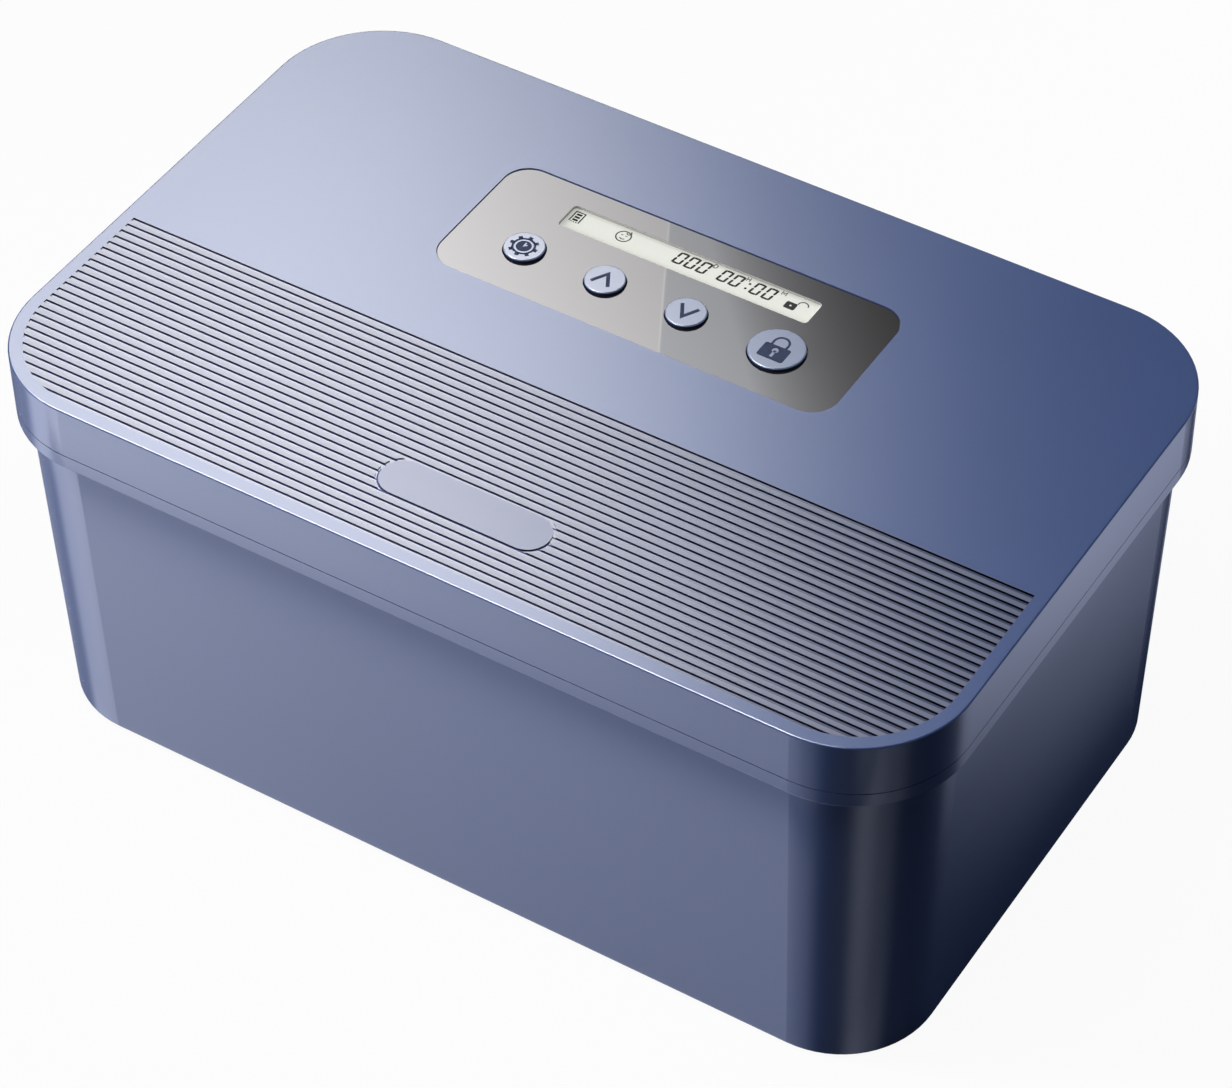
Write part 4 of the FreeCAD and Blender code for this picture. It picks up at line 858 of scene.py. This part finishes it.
# level of the whole sky, and what the strip over the front edge adds to it
SKY_LEVEL = 17.5
STRIP_LEVEL = 45.0
STRIP_NEARER = (4.0, 5.5)
STRIP_SIDE = (1.8, 2.4)
SKY_END = (8.5, 10.0)
SKY_END_DROP = 0.98
# red, green and blue of the dark part of the sky and of the card in it
SKY_TONES = ((0.99, 1.0), (1.03, 1.0), (1.09, 1.02))
# least height of a direction that the mirror's place is worked out for
LEAST_CLIMB = 0.08
# how high a direction points where the sky starts, what is under it, and where the low glow ends
SKY_START = (0.3, 0.5)
BELOW_SKY = 0.12
GLOW_END = (-0.15, 0.0)

# heading in degrees, level and blueness of the low glow that gloss shows
LOW_GLOW = (
    (-180, 0.7, 0.5), (-163, 4.4, 0.5), (-143, 6.4, 0.5), (-123, 3.15, 0.5), (-103, 1.33, 0.5),
    (-83, 0.0, 0.5), (-63, 0.21, 0.5), (-43, 1.68, 0.5), (-23, 0.77, 0.5), (-3, 0.0, 1.0), (17, 0.14, 1.0),
    (37, 0.42, 1.0), (57, 1.9, 1.0), (90, 0.63, 1.0), (120, 0.28, 0.5), (137, 0.49, 0.5), (157, 0.5, 0.5),
    (180, 0.7, 0.5))
GLOW_PEAK = 6.4
# what blueness adds to red, green and blue
GLOW_TINT = (-0.14, -0.06, 0.28)

# Share of the low glow that gloss sees past the floor, by the place in millimetres: in front of the object
# along y, far out to its left along y, and on its right along x.
FRONT_SHARES = (
    (-600, 0.5), (-330, 0.3), (-212, 0.3), (-190, 1.0), (-163, 1.0), (-159, 0.9), (-157, 0.0), (-149, 0.0),
    (-146, 0.42), (-142, 0.53), (-130, 0.52), (-115, 0.48), (-100, 0.44), (-83, 0.4), (-60, 0.72))
LEFT_SHARES = ((-140, 0.64), (-98, 0.6), (-54, 0.72), (-12, 0.4))
SIDE_SHARES = (
    (128, 0.004), (134.5, 0.02), (139.6, 0.085), (146.7, 0.17), (154.2, 0.26), (157, 0.26), (161, 0.22),
    (163.5, 0.34), (166, 0.38), (175, 0.54), (178, 0.63), (182.5, 0.72), (200, 0.82))
# in metres: where the far part of the front starts, where the left and the right part take over
FRONT_FAR = (0.156, 0.162)
LEFT_START = (0.2, 0.215)
RIGHT_START = (0.118, 0.127)
RIGHT_BACK = (-0.075, -0.06)
RIGHT_FADE = (-0.06, 0.13)
# the far part of the front fades out to the right: 1 - (x gain + level), kept from 0 to 1
FAR_FADE = (2.0, 0.18)
# how much of the floor's white is its own, with no shadow on it
FLOOR_WHITE = 0.94


def add_lamp(name, heading, height, distance, size, level):
    """Square lamp that looks at the object; level is its light on a sheet that faces it."""
    lamp = bpy.data.lights.new(name, "AREA")
    lamp.shape = "SQUARE"
    lamp.size = size
    lamp.energy = level * math.pi ** 2 * distance ** 2
    holder = bpy.data.objects.new(name, lamp)
    turn, rise = math.radians(heading), math.radians(height)
    away = Vector((math.cos(turn) * math.cos(rise), math.sin(turn) * math.cos(rise), math.sin(rise)))
    holder.location = LAMP_TARGET + away * distance
    holder.rotation_euler = away.to_track_quat("Z", "Y").to_euler()
    holder.visible_glossy = False
    bpy.context.scene.collection.objects.link(holder)


def graded(tree, value, stops, ease="LINEAR"):
    """Colour of a ramp over a socket from 0 to 1; stops are (place, colour)."""
    ramp = tree.nodes.new("ShaderNodeValToRGB")
    tree.links.new(value, ramp.inputs["Fac"])
    band = ramp.color_ramp
    band.interpolation = ease
    while len(band.elements) < len(stops):
        band.elements.new(0.5)
    for element, (position, colour) in zip(band.elements, stops):
        element.position = position
        element.color = (*colour, 1)
    return ramp.outputs["Color"]


def low_glow(tree, x, y):
    """Colour by the heading of (x, y), eased between the stops, as a share of the highest level."""
    turn = calc(tree, "MULTIPLY_ADD", calc(tree, "ARCTAN2", y, x), 1 / (2 * math.pi), 0.5)
    stops = []
    for angle, level, blue in LOW_GLOW:
        share = level / GLOW_PEAK
        stops.append(((angle + 180) / 360, [share * (1 + tint * blue) for tint in GLOW_TINT]))
    return graded(tree, turn, stops, "EASE")


def high_sky(tree, x, y, z):
    """Colour of the sky overhead: a bright card, a dark part that fades to the right, a strip at the front.

    The place on the lid's top that mirrors the direction d: p = m + d (top - m.z) / d.z, m the camera's
    mirror image. The dark part is exp(slope . (side, depth, 1)).
    """
    mirrored = Vector((CAMERA_PLACE.x, CAMERA_PLACE.y, 2 * LID_TOP - CAMERA_PLACE.z))
    rise = LID_TOP - mirrored.z
    climb = calc(tree, "MAXIMUM", z, LEAST_CLIMB)
    side = weigh(tree, [(calc(tree, "DIVIDE", x, climb), rise * 10)], mirrored.x * 10)
    depth = weigh(tree, [(calc(tree, "DIVIDE", y, climb), rise * 10)], mirrored.y * 10)
    nearer = calc(tree, "MULTIPLY", depth, -1)
    first, second = (Vector((*place, LID_TOP)) - mirrored for place in CARD_EDGE)
    wall = first.cross(second).normalized()
    if wall.x > 0:
        wall = -wall
    past = weigh(tree, [(x, wall.x), (y, wall.y), (z, wall.z)])
    on_card = step_up(tree, past, *CARD_STEP)
    rim = calc(tree, "SUBTRACT", *(step_up(tree, past, *step) for step in RIM_STEPS))
    roof = weigh(tree, [(calc(tree, "MAXIMUM", nearer, 0), CARD_ROOF_GAIN)], CARD_ROOF)
    roof = calc(tree, "MINIMUM", roof, CARD_MOST)
    card = weigh(tree, [(side, CARD_SLOPE[0]), (depth, CARD_SLOPE[1])], CARD_SLOPE[2])
    card = calc(tree, "MINIMUM", calc(tree, "MAXIMUM", card, CARD_LEAST), roof)
    card = calc(tree, "MULTIPLY", card, step_up(tree, side, *CARD_START))
    fall = calc(tree, "MAXIMUM", depth, DARK_DEPTH)
    fall = weigh(tree, [(side, DARK_SLOPE[0]), (fall, DARK_SLOPE[1])], DARK_SLOPE[2])
    dark = calc(tree, "MINIMUM", calc(tree, "EXPONENT", fall), calc(tree, "MULTIPLY", card, DARK_MOST))
    card = calc(tree, "MULTIPLY", card, calc(tree, "MULTIPLY_ADD", rim, RIM_GAIN, 1.0))
    sky = blend_values(tree, on_card, dark, card)
    strip = calc(tree, "SUBTRACT", step_up(tree, nearer, *STRIP_NEARER), step_up(tree, side, *STRIP_SIDE),
                 clamp=True)
    sky = calc(tree, "MULTIPLY", sky, calc(tree, "MULTIPLY_ADD", strip, STRIP_LEVEL, SKY_LEVEL))
    ended = calc(tree, "MULTIPLY_ADD", step_up(tree, nearer, *SKY_END), -SKY_END_DROP, 1.0)
    level = blend_values(tree, step_up(tree, z, *SKY_START), BELOW_SKY, calc(tree, "MULTIPLY", sky, ended))
    toned = tree.nodes.new("ShaderNodeCombineXYZ")
    for socket, (off, on) in zip(toned.inputs, SKY_TONES):
        tone = blend_values(tree, on_card, off / GLOW_PEAK, on / GLOW_PEAK)
        tree.links.new(calc(tree, "MULTIPLY", level, tone), socket)
    return toned.outputs[0]


def studio_world(room):
    """World: white behind the object, even light on it, and soft cards that only gloss shows."""
    world = bpy.data.worlds.new("Studio")
    bpy.context.scene.world = world
    world.use_nodes = True
    world.cycles.sampling_method = "NONE"
    tree = world.node_tree
    tree.nodes.clear()
    out = tree.nodes.new("ShaderNodeOutputWorld")
    x, y, z = split_place(tree, "Generated")
    colour = mix_colours(tree, step_up(tree, z, *GLOW_END), low_glow(tree, x, y), high_sky(tree, x, y, z))
    shown = add_node(tree, "ShaderNodeBackground", Strength=GLOW_PEAK)
    tree.links.new(colour, shown.inputs["Color"])
    even = add_node(tree, "ShaderNodeBackground", Strength=room)
    white = add_node(tree, "ShaderNodeBackground", Color=(1, 1, 1, 1), Strength=1.0)
    camera, mirror = ray_kinds(tree)
    gloss = blend_shaders(tree, mirror, even.outputs[0], shown.outputs[0])
    tree.links.new(blend_shaders(tree, camera, gloss, white.outputs[0]), out.inputs["Surface"])


def share_along(tree, place, stops):
    """Value of a table of (place in millimetres, share) over a socket in metres."""
    low, high = stops[0][0], stops[-1][0]
    along = calc(tree, "MULTIPLY_ADD", place, 1 / (high - low) / MM, -low / (high - low))
    return graded(tree, along, [((at - low) / (high - low), (share,) * 3) for at, share in stops])


def floor_shade(tree):
    """How clearly gloss sees past the floor: by y in front and far out to the left, by x on the right."""
    x, y = split_place(tree)[:2]
    front = share_along(tree, y, FRONT_SHARES)
    far = step_up(tree, calc(tree, "MULTIPLY", y, -1), *FRONT_FAR)
    fade = calc(tree, "MULTIPLY_ADD", calc(tree, "MULTIPLY_ADD", x, *FAR_FADE, clamp=True), -1.0, 1.0)
    front = calc(tree, "MULTIPLY", front, blend_values(tree, far, 1.0, fade))
    left = step_up(tree, calc(tree, "MULTIPLY", x, -1), *LEFT_START)
    front = blend_values(tree, left, front, share_along(tree, y, LEFT_SHARES))
    side = calc(tree, "MULTIPLY", share_along(tree, x, SIDE_SHARES), step_up(tree, y, *RIGHT_FADE))
    beside = calc(tree, "MULTIPLY", step_up(tree, x, *RIGHT_START), step_up(tree, y, *RIGHT_BACK))
    return blend_values(tree, beside, front, side)


def floor_material():
    """Pale floor that shows white to the camera and keeps a faint shadow."""
    material = bpy.data.materials.new("Pale floor")
    material.use_nodes = True
    material.cycles.emission_sampling = "NONE"
    tree = material.node_tree
    tree.nodes.clear()
    out = tree.nodes.new("ShaderNodeOutputMaterial")
    matte = add_node(tree, "ShaderNodeBsdfDiffuse", Color=(0.3, 0.3, 0.31, 1))
    pale = add_node(tree, "ShaderNodeBsdfDiffuse", Color=(0.95, 0.95, 0.95, 1))
    white = add_node(tree, "ShaderNodeEmission", Color=(1, 1, 1, 1), Strength=1.0)
    clear = tree.nodes.new("ShaderNodeBsdfTransparent")
    tree.links.new(floor_shade(tree), clear.inputs["Color"])
    camera, mirror = ray_kinds(tree)
    shown = blend_shaders(tree, FLOOR_WHITE, pale.outputs[0], white.outputs[0])
    seen = blend_shaders(tree, mirror, matte.outputs[0], clear.outputs[0])
    tree.links.new(blend_shaders(tree, camera, seen, shown), out.inputs["Surface"])
    return material


def add_floor(width):
    """Flat square floor on a three by three grid of points."""
    across = np.linspace(-width / 2, width / 2, 3)
    grid = np.stack(np.meshgrid(across, across), -1).reshape(-1, 2)
    points = np.column_stack([grid, np.full(len(grid), FLOOR_HEIGHT)])
    corners = np.array([0, 1, 3, 4])[:, None]
    faces = corners + (0, 1, 4, 3)
    mesh = bpy.data.meshes.new("studio_floor")
    mesh.from_pydata(points, [], faces.tolist())
    mesh.materials.append(floor_material())
    floor = bpy.data.objects.new("studio_floor", mesh)
    bpy.context.scene.collection.objects.link(floor)


def add_camera(lens):
    """The scene's camera, from its place and aim."""
    camera = bpy.data.cameras.new("camera")
    camera.sensor_width = CAMERA_SENSOR
    camera.lens = lens
    camera.shift_x, camera.shift_y = CAMERA_SHIFT
    camera.clip_start = CAMERA_CLIP
    holder = bpy.data.objects.new("camera", camera)
    holder.location = CAMERA_PLACE
    holder.rotation_euler = (-CAMERA_AIM).to_track_quat("Z", "Y").to_euler()
    bpy.context.scene.collection.objects.link(holder)
    bpy.context.scene.camera = holder


class LOCK_OT_studio(bpy.types.Operator):
    """Pale floor, soft lamps, world and the camera"""
    bl_idname = "lock.studio"
    bl_label = "Studio"

    def execute(self, context):
        studio = context.scene.lock_studio
        add_floor(studio.floor_size)
        for *placing, level in LAMPS:
            add_lamp(*placing, getattr(studio, level))
        studio_world(studio.room_level)
        add_camera(studio.lens)
        context.scene.view_settings.view_transform = "Standard"
        return {"FINISHED"}


class LOCK_PT_panel(bpy.types.Panel):
    """Lists the steps and values of the lock container"""
    bl_idname = "LOCK_PT_panel"
    bl_label = "Lock container"
    bl_space_type = "VIEW_3D"
    bl_region_type = "UI"
    bl_category = "Lock container"

    def draw(self, context):
        for operator in OPERATORS:
            self.layout.operator(operator.bl_idname)
        for name, kind in GROUPS.items():
            box = self.layout.box()
            box.label(text=kind.__doc__)
            for value in kind.__annotations__:
                box.prop(getattr(context.scene, name), value)


OPERATORS = (LOCK_OT_body, LOCK_OT_panel, LOCK_OT_works, LOCK_OT_marks, LOCK_OT_buttons, LOCK_OT_studio)


def register():
    for kind in (*GROUPS.values(), *OPERATORS, LOCK_PT_panel):
        bpy.utils.register_class(kind)
    for name, kind in GROUPS.items():
        setattr(bpy.types.Scene, name, bpy.props.PointerProperty(type=kind))


def unregister():
    for name in GROUPS:
        delattr(bpy.types.Scene, name)
    for kind in reversed((*GROUPS.values(), *OPERATORS, LOCK_PT_panel)):
        bpy.utils.unregister_class(kind)


def main():
    register()
    bpy.ops.lock.body()
    bpy.ops.lock.panel()
    bpy.ops.lock.works()
    bpy.ops.lock.marks()
    bpy.ops.lock.buttons()
    bpy.ops.lock.studio()


if __name__ == "__main__":
    main()
